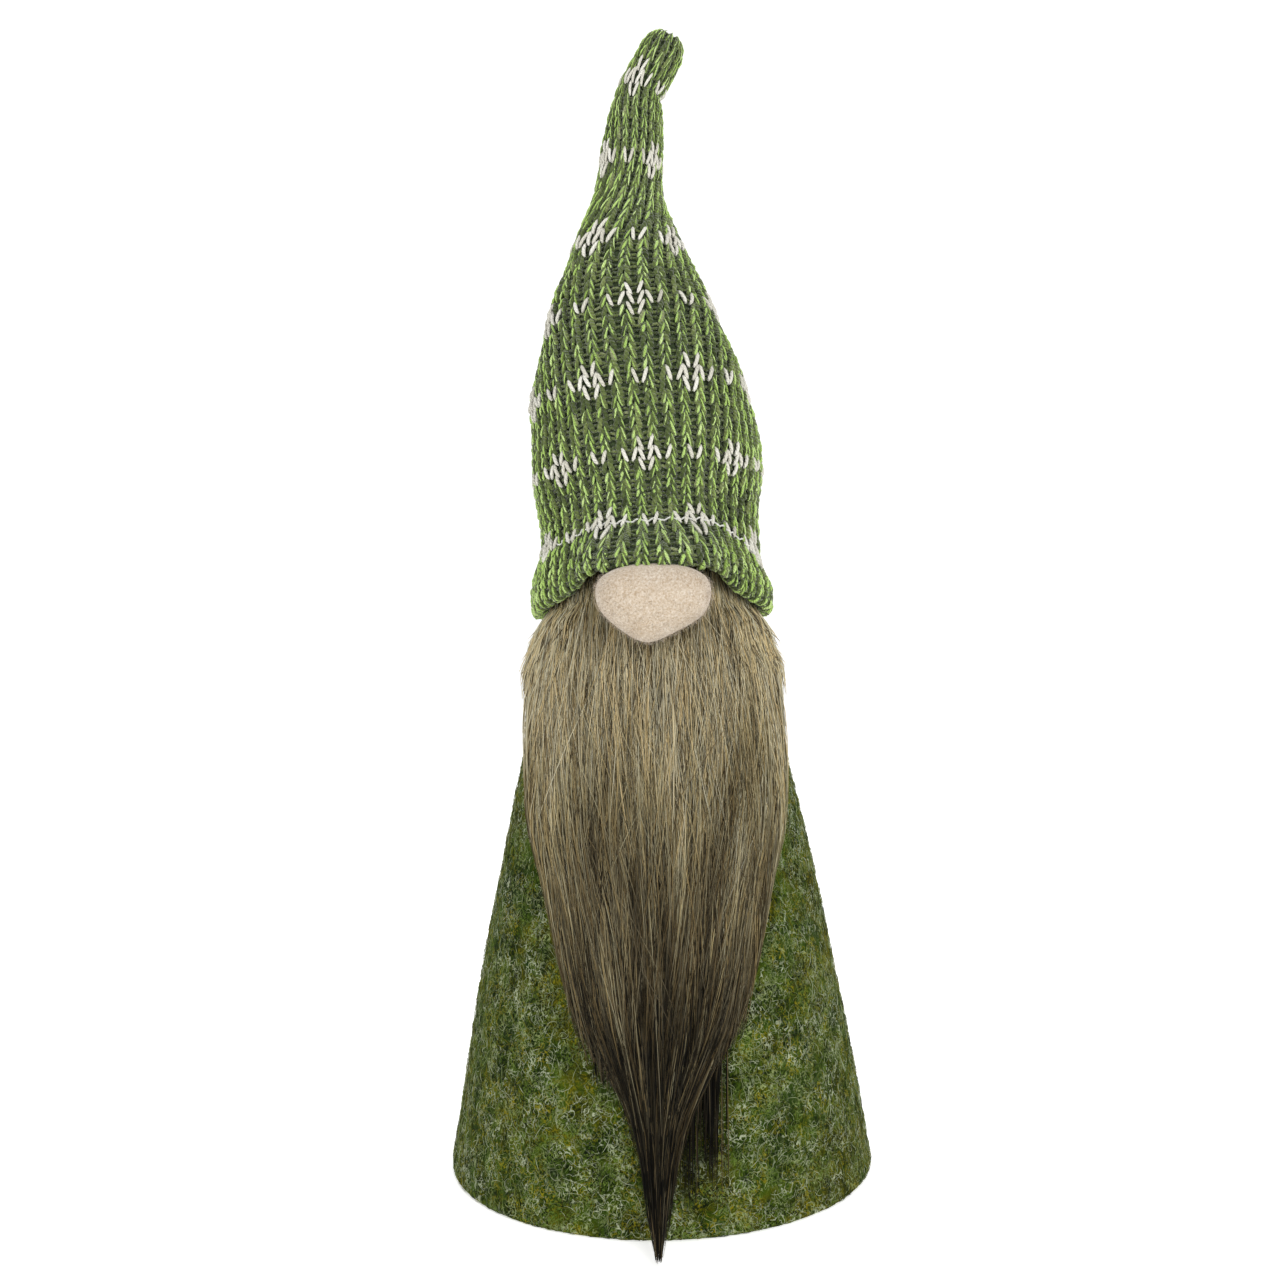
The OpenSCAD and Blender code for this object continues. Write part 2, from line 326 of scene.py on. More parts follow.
def coneLump(turn, z):
    # slow waves round and up the cone, different on every side
    return cone["lump"] * (
        np.sin(3 * turn + z / 17 + 0.4) * np.sin(z / 23 + 1.1)
        + 0.6 * np.sin(5 * turn - z / 12 + 2.0)
        + 0.4 * np.sin(8 * turn + z / 9) * np.cos(z / 14 + 0.6)
    )


def coneSpot(turn, z, out):
    # a point over the cone: turn from the front towards +X, height, distance out from the felt
    seam = np.exp(-((np.pi - np.abs(turn)) * coneRadius(z) / cone["seamWidth"]) ** 2)
    low = np.clip(1 - z / cone["edgeRound"], 0, 1)
    rounded = cone["edgeRound"] * (1 - np.sqrt(1 - low ** 2))
    r = coneRadius(z) + coneLump(turn, z) * smooth(0, 8, z) - cone["seamDepth"] * seam - rounded + out
    return stack(r * np.sin(turn), -r * np.cos(turn), z)


def feltMaterial(name, patchShades, lightAmount):
    # needled wool felt: a matt mat of curled fibres in several greens, so no gloss and a soft sheen
    material, tree = newMaterial(name, {
        "Roughness": 1.0, "Specular IOR Level": 0.04, "Sheen Weight": 0.03, "Sheen Roughness": 0.6,
        "Sheen Tint": linear("#c8cfa8")})
    colour = ramp(tree, patchShades, noise(tree, 20, {"Detail": 4.0, "Roughness": 0.66}))
    height = None
    fibres = [
        # spacing in mm, shade, share of the line that shows, width of the line, seed
        (1.5, "#0f1a06", 1.0, 0.08, 3.1), (1.9, "#8f851c", 0.8, 0.05, 11.7),
        (1.3, "#0c1807", 0.95, 0.08, 21.3), (1.7, "#929e68", lightAmount, 0.042, 34.9),
        (1.2, "#667c34", 0.75, 0.055, 47.2), (2.2, "#b7bfa0", lightAmount, 0.034, 58.6),
    ]
    for spacing, shade, share, width, seed in fibres:
        # a fibre runs where a slow noise crosses its middle value, which gives long curls
        field = noise(tree, spacing, {"noise_dimensions": "4D", "W": seed, "Detail": 1.2, "Roughness": 0.45,
                                      "Distortion": 0.9})
        line = addNode(tree, "ShaderNodeMapRange", {
            "interpolation_type": "SMOOTHSTEP", "From Min": width, "From Max": width * 0.25, "To Min": 0.0,
            "To Max": 1.0}, {"Value": calc(tree, "ABSOLUTE", calc(tree, "SUBTRACT", field, 0.5))})
        shown = addNode(tree, "ShaderNodeMapRange", {
            "From Min": 0.42, "From Max": 0.6, "To Min": 0.0, "To Max": share},
            {"Value": noise(tree, 7, {"noise_dimensions": "4D", "W": seed + 5, "Detail": 1.0})})
        amount = calc(tree, "MULTIPLY", line.outputs["Result"], shown.outputs["Result"])
        colour = addNode(tree, "ShaderNodeMix", {"data_type": "RGBA", "B": linear(shade)},
                         {"Factor": amount, "A": colour}).outputs["Result"]
        height = amount if height is None else calc(tree, "ADD", height, amount)
    return surface(material, colour, height, 0.7, 0.00045)


greenFelt = feltMaterial("needled wool felt, olive green", [
    (0.30, "#1c2d0c"), (0.42, "#2a3d0c"), (0.50, "#36470a"), (0.58, "#474806"), (0.70, "#1d3213")], 0.85)
darkFelt = feltMaterial("needled wool felt, dark green", [
    (0.30, "#1f2b14"), (0.50, "#2c3a1a"), (0.72, "#36441f")], 0.3)

turns = np.linspace(-np.pi, np.pi, cone["columns"], endpoint=False)
levels = np.concatenate([np.linspace(0, cone["edgeRound"], 7)[:-1],
                         np.linspace(cone["edgeRound"], coneHeight, cone["rows"])])[:, None]
outerFelt = coneSpot(turns, levels, 0)
innerFelt = coneSpot(turns, levels, -cone["thick"])
feltCone = makePiece("felt_cone_cloth", np.concatenate([outerFelt.reshape(-1, 3), innerFelt.reshape(-1, 3)]),
                     shellFaces(len(levels), cone["columns"], False), greenFelt)
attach(feltCone, "root")
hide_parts("felt_cone")

# these fibres are several times as thick as real wool, so that single ones show
feltFibre = {"count": 13500, "pieces": 3, "length": (2.0, 6.5), "radius": 0.085, "top": 186.0, "rings": 5}


def curlyFibres(count):
    # arcs of a random bend that lie on the cone, with their ends in the felt
    z = feltFibre["top"] * (1 - np.sqrt(1 - rng.random(count) * 0.93))
    turn = rng.uniform(-np.pi, np.pi, count)
    heading = rng.uniform(0, 2 * np.pi, count)
    bend = rng.normal(0, 0.55, count)
    length = rng.uniform(*feltFibre["length"], count)
    s = np.linspace(0, 1, feltFibre["rings"])
    angle = heading[:, None] + bend[:, None] * length[:, None] * (s - 0.5)
    step = length[:, None] / (feltFibre["rings"] - 1)
    across = np.cumsum(np.cos(angle) * step, axis=1)
    up = np.cumsum(np.sin(angle) * step, axis=1)
    level = np.clip(z[:, None] + up, 0.3, feltFibre["top"])
    around = turn[:, None] + across / coneRadius(level)
    around = (around + np.pi) % (2 * np.pi) - np.pi
    lift = -0.05 + rng.uniform(0.1, 0.5, count)[:, None] * np.sin(np.pi * s)
    outward = stack(np.sin(around), -np.cos(around), 0.2)
    return coneSpot(around, level, lift), outward, np.sin(np.pi * np.clip(s, 0.12, 0.88))


# single wool fibres lying on the felt: whitish, straw and green ones mixed by a mark on each
looseFibre, fibreTree = newMaterial("loose wool fibre, mixed shades", {
    "Roughness": 0.85, "Specular IOR Level": 0.08})
surface(looseFibre, ramp(fibreTree, [
    (0.0, "#16230a"), (0.3, "#2c3c10"), (0.45, "#7f7a1e"), (0.6, "#65783a"), (0.8, "#8a9568"),
    (1.0, "#b9c0a2")], strandMark(fibreTree, "tint")))
for part in range(feltFibre["pieces"]):
    paths, outward, taper = curlyFibres(feltFibre["count"] // feltFibre["pieces"])
    fibres = makeStrands(f"felt_fibres_{part + 1}", paths, outward, feltFibre["radius"] * taper, 3,
                         looseFibre, tint=rng.random(len(paths)))
    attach(fibres, "root")
print("felt cone is made")

hat = {
    # radius and height of the fabric, from the inside of the hem, round its fold and up to the tip,
    # as if the hat stood upright; foldKnot and lineKnot count up to the fold's edge and the stitched line
    "outline": [
        (32.6, 184.0), (32.4, 180.0), (33.0, 175.8), (34.4, 172.5), (36.3, 171.4), (38.0, 173.2),
        (38.6, 177.0), (37.9, 182.0), (36.8, 187.0), (35.3, 190.9), (34.8, 194.5), (34.7, 200.0),
        (35.2, 207.0), (36.1, 213.5), (36.3, 219.0), (35.8, 228.0), (34.7, 235.0), (33.6, 243.0),
        (31.5, 251.0), (29.1, 258.0), (26.5, 266.0), (23.8, 274.0), (20.9, 281.0), (17.9, 289.0),
        (14.4, 297.0), (11.7, 304.0), (10.6, 311.0), (10.2, 320.0), (9.3, 328.0), (8.3, 335.0),
        (7.7, 341.0), (7.7, 347.0), (7.5, 352.0), (6.1, 356.4), (3.2, 359.0), (0.4, 359.7)],
    "foldKnot": 4, "lineKnot": 9,
    "archHeight": 13.0, "archFade": 33.0,      # the nose lifts the hem, less and less up the crown
    "arch": [(0, 1), (15, 0.99), (29, 0.92), (46.5, 0.5), (62, 0.3), (90, 0.04), (115, 0), (180, 0)],
    "bulge": 11.0, "bulgeTurn": 0.52, "bulgeHeight": 13.0,     # the nose pushes the front out
    # rows of stitches and the height of each band of flakes
    "rows": [(0, 190.9), (7, 213.2), (14, 238.6), (21, 264.2), (28, 286.0), (35, 313.0), (42, 338.0),
             (48, 359.6)],
    "hemRow": 3.4,
    "wales": [(-9, 52), (0, 49), (7, 46), (14, 42), (21, 28.5), (28, 24), (35, 22), (42, 15.5), (48, 12)],
    "twist": [(-9, 0), (7, 0), (14, 0), (21, 2), (28, 8), (35, 44), (42, 50), (48, 55)],
    # the hat's middle line: how far it stands to the side at each height
    "middle": [(150, 0), (190, 0), (207, -0.7), (224, -1.5), (242, -2.6), (259, -4.1), (276, -5.3),
               (293, -5.6), (307, -4.9), (322, -3.3), (333, -1.7), (338.5, 0.0), (344, 2.9), (350, 6.2),
               (354, 8.3), (366, 14.5)],
    "droop": 6.5, "droopTurn": (1.45, 0.5), "droopHeight": (190, 9),     # the stitched line sinks on one side
    "fullSide": 1.3,       # the filling pushes one side of the crown out
    "yarnOut": 1.5,        # how far the yarn stands out from the surface that it is knitted on
    "groundIn": 0.45, "groundThick": 1.2,
}
outline = np.array(hat["outline"])
chord = np.concatenate([[0], np.cumsum(np.linalg.norm(np.diff(outline, axis=0), axis=1))])
dense = np.linspace(0, chord[-1], 1500)
hatRadius = softCurve(dense, np.stack([chord, outline[:, 0]], axis=1))
hatHeight = softCurve(dense, np.stack([chord, outline[:, 1]], axis=1))
hatArc = np.concatenate([[0], np.cumsum(np.hypot(np.diff(hatRadius), np.diff(hatHeight)))])
hatArc -= np.interp(chord[hat["lineKnot"]], dense, hatArc)
slopeR, slopeZ = np.gradient(hatRadius, hatArc), np.gradient(hatHeight, hatArc)
foldArc = hatArc[np.argmin(hatHeight)]
foldEdge = hat["outline"][hat["foldKnot"]][1]
crownOnly = hatArc >= 0
rowArc = [(row, np.interp(z, hatHeight[crownOnly], hatArc[crownOnly])) for row, z in hat["rows"]]

middleZ = np.arange(150.0, 366.0, 0.25)
middleX = softCurve(middleZ, hat["middle"])
middleLength = middleZ[0] + np.concatenate([[0], np.cumsum(np.hypot(np.diff(middleX), np.diff(middleZ)))])
lean = np.arctan(np.gradient(middleX, middleZ))
softening = np.hanning(41) / np.hanning(41).sum()
lean = np.convolve(np.pad(lean, 20, mode="edge"), softening, mode="valid")


def hatArch(turn):
    # share of the hem's lift at an angle from the front
    return softCurve(np.degrees(np.abs(turn)), hat["arch"])


def hatSpot(turn, arc, out):
    # a point over the fabric and the way out of it, from a turn from the front, a distance along the
    # fabric and a distance out: the outline is turned about the middle line, then leans with it
    turn = (turn + np.pi) % (2 * np.pi) - np.pi
    r = np.interp(arc, hatArc, hatRadius)
    z = np.interp(arc, hatArc, hatHeight)
    outR, outZ = np.interp(arc, hatArc, slopeZ), -np.interp(arc, hatArc, slopeR)
    length = np.hypot(outR, outZ)
    outR, outZ = outR / length, outZ / length
    height = z + hat["archHeight"] * np.exp(-(z - foldEdge) / hat["archFade"]) * hatArch(turn)
    droopAt, droopWide = hat["droopTurn"]
    droopHigh, droopTall = hat["droopHeight"]
    away = ((turn - droopAt) / droopWide) ** 2 + ((z - droopHigh) / droopTall) ** 2
    height = height - hat["droop"] * np.exp(-away)
    r = r + hat["bulge"] * np.exp(-(turn / hat["bulgeTurn"]) ** 4) * np.exp(
        -(np.maximum(z - 176, 0) / hat["bulgeHeight"]) ** 2)
    sway = smooth(196, 210, z) * (1 - smooth(290, 310, z))
    folds = (0.5 * np.sin(2 * turn + z / 19) + 0.35 * np.sin(5 * turn - z / 11 + 1)
             + 0.2 * np.sin(9 * turn + z / 7))
    r = r + sway * folds
    r = r + (1 - smooth(186, 196, z)) * 0.3 * np.sin(11 * turn + 0.7)
    r = r + hat["fullSide"] * np.maximum(-np.sin(turn), 0) * smooth(228, 240, z) * (1 - smooth(266, 284, z))
    crease = np.exp(-((z - 337.5) / 2.2) ** 2) * np.exp(-((turn - 1.6) / 0.9) ** 2)
    r = r - 1.5 * crease
    tilt = np.interp(height, middleLength, lean)
    out = out - hat["yarnOut"] * smooth(foldArc - 1, foldArc + 5, arc)
    side = np.maximum(r + out * outR, 0.05)
    rise = out * outZ
    x = np.interp(height, middleLength, middleX) + side * np.sin(turn) * np.cos(tilt) + rise * np.sin(tilt)
    zUp = np.interp(height, middleLength, middleZ) - side * np.sin(turn) * np.sin(tilt) + rise * np.cos(tilt)
    outward = stack(outR * np.sin(turn) * np.cos(tilt) + outZ * np.sin(tilt), -outR * np.cos(turn),
                    outZ * np.cos(tilt) - outR * np.sin(turn) * np.sin(tilt))
    return stack(x, -side * np.cos(turn), zUp), outward


def stitchSpot(wale, row, out):
    # the same, from a stitch's place in the knitting: columns from the front, rows from the stitched line
    count = np.interp(row, *np.array(hat["wales"], float).T)
    turn = 2 * np.pi * wale / count + np.radians(softCurve(row, hat["twist"]))
    squeezed = 1 - 0.3 * hatArch((turn + np.pi) % (2 * np.pi) - np.pi)
    arc = np.where(row < 0, row * hat["hemRow"] / squeezed, softCurve(np.maximum(row, 0), rowArc))
    return hatSpot(turn, np.clip(arc, hatArc[0], hatArc[-1]), out)


def yarnMaterial(name, shades, plyPitch, plyDepth, fuzz, paintedGrooveShade=0.72):
    # spun yarn: matt, with the twist of its plies as slanting ridges, painted shade in the grooves between
    # them and a fuzz of short fibres
    material, tree = newMaterial(name, {
        "Roughness": 0.95, "Specular IOR Level": 0.15, "Sheen Weight": 0.3, "Sheen Roughness": 0.5})
    speck = noise(tree, 0.9, {"Detail": 3.0, "Roughness": 0.7})
    mixed = calc(tree, "MULTIPLY_ADD", speck, fuzz, -fuzz / 2)
    level = addNode(tree, "ShaderNodeMath", {"operation": "ADD", "use_clamp": True},
                    {0: strandMark(tree, "tint"), 1: mixed})
    shade = ramp(tree, shades, level.outputs[0])
    uv = addNode(tree, "ShaderNodeUVMap", {"uv_map": "strand"})
    parts = addNode(tree, "ShaderNodeSeparateXYZ", {}, {"Vector": uv.outputs["UV"]})
    slant = calc(tree, "MULTIPLY_ADD", parts.outputs["X"], 1 / plyPitch, parts.outputs["Y"])
    # two plies, so two ridges to a turn
    ridge = calc(tree, "SINE", calc(tree, "MULTIPLY", slant, 4 * math.pi))
    # painted shade: the yarn's colour is darkened in the grooves between the plies
    grooveShadow = addNode(tree, "ShaderNodeMapRange", {
        "From Min": -1.0, "From Max": 0.2, "To Min": paintedGrooveShade, "To Max": 1.0}, {"Value": ridge})
    dark = addNode(tree, "ShaderNodeVectorMath", {"operation": "SCALE"},
                   {0: shade, "Scale": grooveShadow.outputs["Result"]})
    return surface(material, dark.outputs["Vector"], calc(tree, "MULTIPLY_ADD", speck, 1.6, ridge), 0.8,
                   plyDepth)


darkYarn = yarnMaterial("spun acrylic yarn, dark green marl", [
    (0.0, "#343f1a"), (0.4, "#556334"), (0.7, "#748148"), (1.0, "#99a075")], 2.4, 0.00018, 0.8)
lightYarn = yarnMaterial("spun acrylic yarn, light green strand", [
    (0.0, "#8aa64c"), (0.5, "#b2d36f"), (1.0, "#cbe394")], 1.6, 0.00008, 0.3)
whiteYarn = yarnMaterial("spun acrylic yarn, off-white", [
    (0.0, "#bdbaaa"), (0.5, "#d8d5c7"), (1.0, "#eae8dd")], 2.6, 0.00014, 0.5, 0.82)


# the back of the fabric seen between the stitches: dark, matt and fuzzy
knitGround = noiseMaterial(
    "brushed acrylic knit ground, dark green",
    {"Roughness": 1.0, "Specular IOR Level": 0.1, "Sheen Weight": 0.2},
    [(0.3, "#2b3622"), (0.55, "#3f4c30"), (0.75, "#5e6b4c")], 1.1, 0.7, 0.0004,
    pattern={"Detail": 4.0, "Roughness": 0.7})

# the fabric is made as a lower and an upper part that meet at one row
splitRow = 35.6  # half way up the tail, where the lower part ends and the upper part starts


def bendWithHat(piece, upper):
    # the lower and the upper part alike: the piece's placement is baked into its mesh
    if upper:
        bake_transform(piece)
    else:
        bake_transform(piece)


groundTurns = np.linspace(-np.pi, np.pi, 108, endpoint=False)
splitArc = float(softCurve(np.array(splitRow), rowArc))
fibrefill = noiseMaterial(
    # curled polyester filling: white, matt and cloudy
    "polyester fibrefill, white", {"Roughness": 1.0, "Sheen Weight": 0.3},
    [(0.3, "#d9d8d2"), (0.7, "#f4f3ee")], 3.0, 0.8, 0.0012)


def capped(rows, columns):
    # a grid closed round its columns, with a lid at each end
    ring = np.arange(columns)
    return [gridFaces(rows, columns), ring[None, ::-1], ((rows - 1) * columns + ring)[None]]


for upper, (arcFrom, arcTo) in enumerate([(hatArc[0], splitArc), (splitArc, hatArc[-1])]):
    arcs = np.linspace(arcFrom, arcTo, 44 if upper else 124)[:, None]
    outerGround, _ = hatSpot(groundTurns, arcs, -hat["groundIn"])
    innerGround, _ = hatSpot(groundTurns, arcs, -hat["groundIn"] - hat["groundThick"])
    ground = makePiece(
        "hat_ground_upper" if upper else "hat_ground_lower",
        np.concatenate([outerGround.reshape(-1, 3), innerGround.reshape(-1, 3)]),
        shellFaces(len(arcs), len(groundTurns), bool(upper)), knitGround)
    bendWithHat(ground, upper)
    if upper:
        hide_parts("hat_tip")
    else:
        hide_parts("hat_hem", "hat_crown", "hat_tail")
    # the filling follows the fabric a little way in, with its own lumps
    fillArcs = np.linspace(max(arcFrom, 6.0), min(arcTo, hatArc[-1] - 3.4), 20 if upper else 70)[:, None]
    lumps = 0.35 * np.sin(4 * groundTurns + fillArcs / 3) * np.sin(fillArcs / 5) - 0.35
    filling, _ = hatSpot(groundTurns, fillArcs, -hat["groundIn"] - hat["groundThick"] - 0.2 + lumps)
    filled = makePiece("hat_filling_upper" if upper else "hat_filling_lower", filling.reshape(-1, 3),
                       capped(len(fillArcs), len(groundTurns)), fibrefill)
    bendWithHat(filled, upper)
    if upper:
        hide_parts("tip_stuffing")
    else:
        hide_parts("hat_stuffing", "tail_stuffing")


def stitchPlaces(rowFrom, rowTo):
    # every whole stitch between two rows that the tapered panel still holds, and whether it is off-white
    rows = np.arange(rowFrom, rowTo)
    wales = np.arange(-26, 27)
    row, wale = [a.ravel() for a in np.meshgrid(rows, wales, indexing="ij")]
    count = np.interp(row, *np.array(hat["wales"], float).T)
    held = np.abs(wale) < count / 2 - 0.35
    row, wale = row[held], wale[held]
    band = np.round(row / 7)
    inBand = row - 7 * band
    flake = (wale + np.where(band % 2 == 0, 3, 0) + 3) % 6 - 3
    white = (np.abs(inBand) <= 1) & (flake == 0) | (inBand == 0) & ((np.abs(flake) == 1) | (flake == -3))
    white &= band >= 0
    return wale.astype(float), row.astype(float), white


leg = {
    # where a leg starts and ends, as shares of a stitch's width and of its row, then the yarn's radii
    "rings": 6, "bottom": 0.20, "top": 0.47, "from": -0.2, "to": 1.15,
    "darkRadius": 0.84, "whiteRadius": 0.6, "lightRadius": 0.34,
}


def stitchLegs(wale, row, side, bottom, top, rowFrom, rowTo, rise, sink):
    # the two legs of a stitch: each leaves the middle, slants out and up, and dives behind the next row
    t = np.linspace(0, 1, leg["rings"])
    jitter = rng.normal(0, 1, (3, len(wale), 1))
    offset = bottom + (top - bottom) * t ** 0.85
    across = wale[:, None] + side * offset + 0.03 * jitter[0]
    upRow = row[:, None] + rowFrom + (rowTo - rowFrom) * t + 0.05 * jitter[1]
    out = rise * np.sin(np.pi * (0.1 + 0.86 * t)) ** 0.7 * (1 - 0.3 * t) - sink + 0.06 * jitter[2]
    return stitchSpot(across, upRow, out)


legTaper = np.interp(np.linspace(0, 1, leg["rings"]), [0, 0.2, 0.8, 1], [0.6, 1, 1, 0.55])


def joined(name, runs, sides, material):
    # runs of strands as one piece: each run has its paths, the ways out, the radii and the tints
    paths, outs, radii, tints = [np.concatenate(part) for part in zip(*runs)]
    return makeStrands(name, paths, outs, radii, sides, material, tint=tints)


def knit(label, rowFrom, rowTo, upper):
    # dark legs and rungs, light strands on top of them, and the off-white flakes, for a run of rows
    wale, row, white = stitchPlaces(rowFrom, rowTo)
    green = ~white
    scale = np.interp(row, [0, 30, 36, 48], [1, 1, 0.78, 0.72])
    lightScale = scale * np.interp(row, [-2, 1, 28, 36], [1.25, 1, 1, 0.8])

    dark = []
    for side in (-1, 1):
        spots, out = stitchLegs(wale[green], row[green], side, leg["bottom"], leg["top"], leg["from"],
                                leg["to"], 0.95, 0.35)
        thick = leg["darkRadius"] * legTaper * scale[green][:, None]
        dark.append((spots, out, thick, rng.normal(0.42, 0.16, green.sum())))

    rungs = []
    t = np.linspace(-1, 1, 4)
    for up in (0.25, 0.75):
        # rungs: the loops behind that show across the open middle of a stitch
        sag = 0.16 * (1 - t * t) + rng.normal(0, 0.1, (len(wale), 1)) + rng.normal(0, 0.06, (len(wale), 4))
        spots, out = stitchSpot(wale[:, None] + 0.34 * t, row[:, None] + up + sag, 0.3 * (1 - t * t) - 0.25)
        thick = np.interp(np.abs(t), [0, 1], [0.58, 0.4]) * scale[:, None]
        rungs.append((spots, out, thick, np.clip(rng.normal(0.4, 0.2, len(wale)), 0, 1)))

    light = []
    lightLegs = [(1, -0.12, 0.95, 0.24, 0.45, 1.0), (-1, -0.1, 1.28, 0.2, 0.47, 0.78)]
    for side, start, stop, low, high, share in lightLegs:
        shown = green & (rng.random(len(wale)) > 0.09)
        spots, out = stitchLegs(wale[shown], row[shown], side, low, high, start, stop, 0.75, -0.42)
        swell = 1 + 0.3 * rng.normal(0, 1, (shown.sum(), leg["rings"]))
        swell = np.clip(swell + 0.2 * rng.normal(0, 1, (shown.sum(), 1)), 0.4, 1.6)
        thick = leg["lightRadius"] * share * legTaper * swell * lightScale[shown][:, None]
        light.append((spots, out, thick, np.clip(rng.normal(0.5, 0.25, shown.sum()), 0, 1)))

    flakes = []
    for side in (-1, 1):
        spots, out = stitchLegs(wale[white], row[white], side, 0.15, 0.46, -0.22, 1.12, 1.0, -0.25)
        thick = leg["whiteRadius"] * legTaper * scale[white][:, None]
        flakes.append((spots, out, thick, np.clip(rng.normal(0.6, 0.2, white.sum()), 0, 1)))

    bundles = [("dark_yarn", dark, 5, darkYarn), ("rungs", rungs, 4, darkYarn),
               ("light_yarn", light, 4, lightYarn), ("white_yarn", flakes, 6, whiteYarn)]
    for name, runs, sides, yarn in bundles:
        bendWithHat(joined(f"hat_{name}_{label}", runs, sides, yarn), upper)


for label, rowFrom, rowTo, upper in [("hem", -8, 2, False), ("crown", 2, 15, False), ("neck", 15, 36, False),
                                     ("tail", 36, 47, True)]:
    knit(label, rowFrom, rowTo, upper)
print("hat is knitted")

hemThread = {"radius": 0.29, "wave": 0.16, "out": 1.15, "rings": 8}
threadWales = np.linspace(-24.6, 24.6, 49 * hemThread["rings"])
threadPath, threadOut = stitchSpot(
    threadWales, 0.2 + hemThread["wave"] * np.sin(2 * np.pi * threadWales),
    hemThread["out"] - 0.55 * np.cos(2 * np.pi * threadWales + 0.6) ** 2)
threadMaterial = yarnMaterial("spun polyester thread, off-white", [
    (0.0, "#d8d8d0"), (1.0, "#f2f2ec")], 0.9, 0.00006, 0.2)
hemLine = makeStrands("hem_thread_line", threadPath[None], threadOut[None], hemThread["radius"], 6,
                      threadMaterial, tint=0.5)
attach(hemLine, "root")
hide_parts("hem_thread")

# whip stitches draw the two edges of the panel together up the back
backSeam = {"rowFrom": -7, "rowTo": 47, "reach": 1.1, "radius": 0.62}
seamRows = np.arange(backSeam["rowFrom"], backSeam["rowTo"])[:, None]
overSeam = np.linspace(-1, 1, 7)


def seamStitches(rows):
    # each stitch slants over the seam and dips into the fabric at its ends
    arc = np.where(rows < 0, rows * hat["hemRow"], softCurve(np.maximum(rows, 0), rowArc)) + 1.1 * overSeam
    turn = np.pi + backSeam["reach"] * overSeam / np.maximum(np.interp(arc, hatArc, hatRadius), 4)
    return hatSpot(turn, np.minimum(arc, hatArc[-1]), 0.9 * (1 - overSeam ** 2) - 0.45)


seamTaper = backSeam["radius"] * np.interp(np.abs(overSeam), [0, 1], [1, 0.7])
for label, upper, kept in [("lower", False, seamRows < splitRow), ("upper", True, seamRows >= splitRow)]:
    spots, out = seamStitches(seamRows[kept][:, None])
    seam = makeStrands(f"hat_seam_{label}", spots, out, seamTaper, 6, darkYarn,
                       tint=rng.uniform(0.1, 0.5, len(spots)))
    bendWithHat(seam, upper)
print("hat is sewn")

beard = {
    # half the beard's width at each height down the cone; below zero it lies on forward past the cone's foot
    "halfWidth": [(-8, 1.1), (2, 1.8), (12, 3.0), (22, 4.6), (30, 6.6), (36, 9.0), (43.5, 13.2), (50.5, 17.1),
                  (57, 20.8), (66, 24.3), (72, 26.1), (80, 27.9), (89, 29.9), (97, 31.8), (108, 34.8),
                  (122, 36.3), (137, 36.9), (150, 36.2), (165, 34.2), (186, 30)],
    # the backing's outer face and, over it, how deep the pile lies at each height
    "backing": 2.5, "pile": [(-8, 2.0), (12, 2.6), (40, 4.2), (70, 5.0), (150, 5.0), (172, 3.4), (186, 2.4)],
    "lift": 9.0, "reach": 17.0, "rest": 1.7,    # where the tip leaves the cone, how far it lies, how high
    "tipSide": -1.9,
    "clumps": 330, "strands": 32, "pieces": 3, "rings": 7, "sides": 3,
    "coat": 8400, "coatPieces": 2, "wisps": 500, "hangFrom": 66.0,
    "length": (48, 96), "radius": 0.17, "coatRadius": 0.13, "rootLow": 58.0,
    # how pale the hair is by height: dark tips below, straw above
    "fade": [(-8, 0.1), (8, 0.02), (26, 0.11), (43, 0.15), (62, 0.31), (88, 0.52), (115, 0.71), (138, 0.93),
             (186, 1)],
    # darker and paler locks: share across, height, how far each reaches, how strong
    "locks": [(-0.5, 106, 0.15, 15, -0.2), (0.74, 132, 0.10, 15, -0.26), (0.70, 94, 0.10, 20, 0.22),
              (-0.2, 92, 0.10, 18, -0.2), (0.45, 96, 0.12, 16, -0.16), (0.12, 128, 0.08, 20, 0.12),
              (-0.86, 112, 0.10, 30, 0.14), (0.2, 104, 0.06, 22, 0.12), (-0.55, 66, 0.14, 14, 0.14),
              (0.05, 84, 0.07, 15, -0.16), (0.6, 112, 0.06, 16, -0.16), (-0.72, 92, 0.06, 18, -0.14)],
}


def beardSpot(across, height, deep):
    # a point in the fur: share of the half width, height down the cone, share of the pile's depth;
    # below the cone's foot the path turns forward and comes down on to the surface
    past = np.clip((beard["lift"] - height) / beard["reach"], 0, 1.05)
    r = coneRadius(np.maximum(height, beard["lift"])) + beard["backing"]
    r = r + softCurve(height, beard["pile"]) * deep * (1 - 0.45 * np.clip(across, -1, 1) ** 2)
    x = across * softCurve(height, beard["halfWidth"])
    y = -np.sqrt(np.maximum(r ** 2 - x ** 2, 1)) - beard["reach"] * past
    settled = beard["rest"] + (beard["lift"] - beard["rest"]) * (1 - past) ** 1.7 + 1.6 * deep * past
    z = np.where(past > 0, settled, height)
    return stack(x + beard["tipSide"] * (1 - smooth(0, 100, height)), y, z)


def hemBottom(turn):
    # height of the hat's edge, above which the roots are hidden
    return foldEdge + hat["archHeight"] * hatArch(turn)


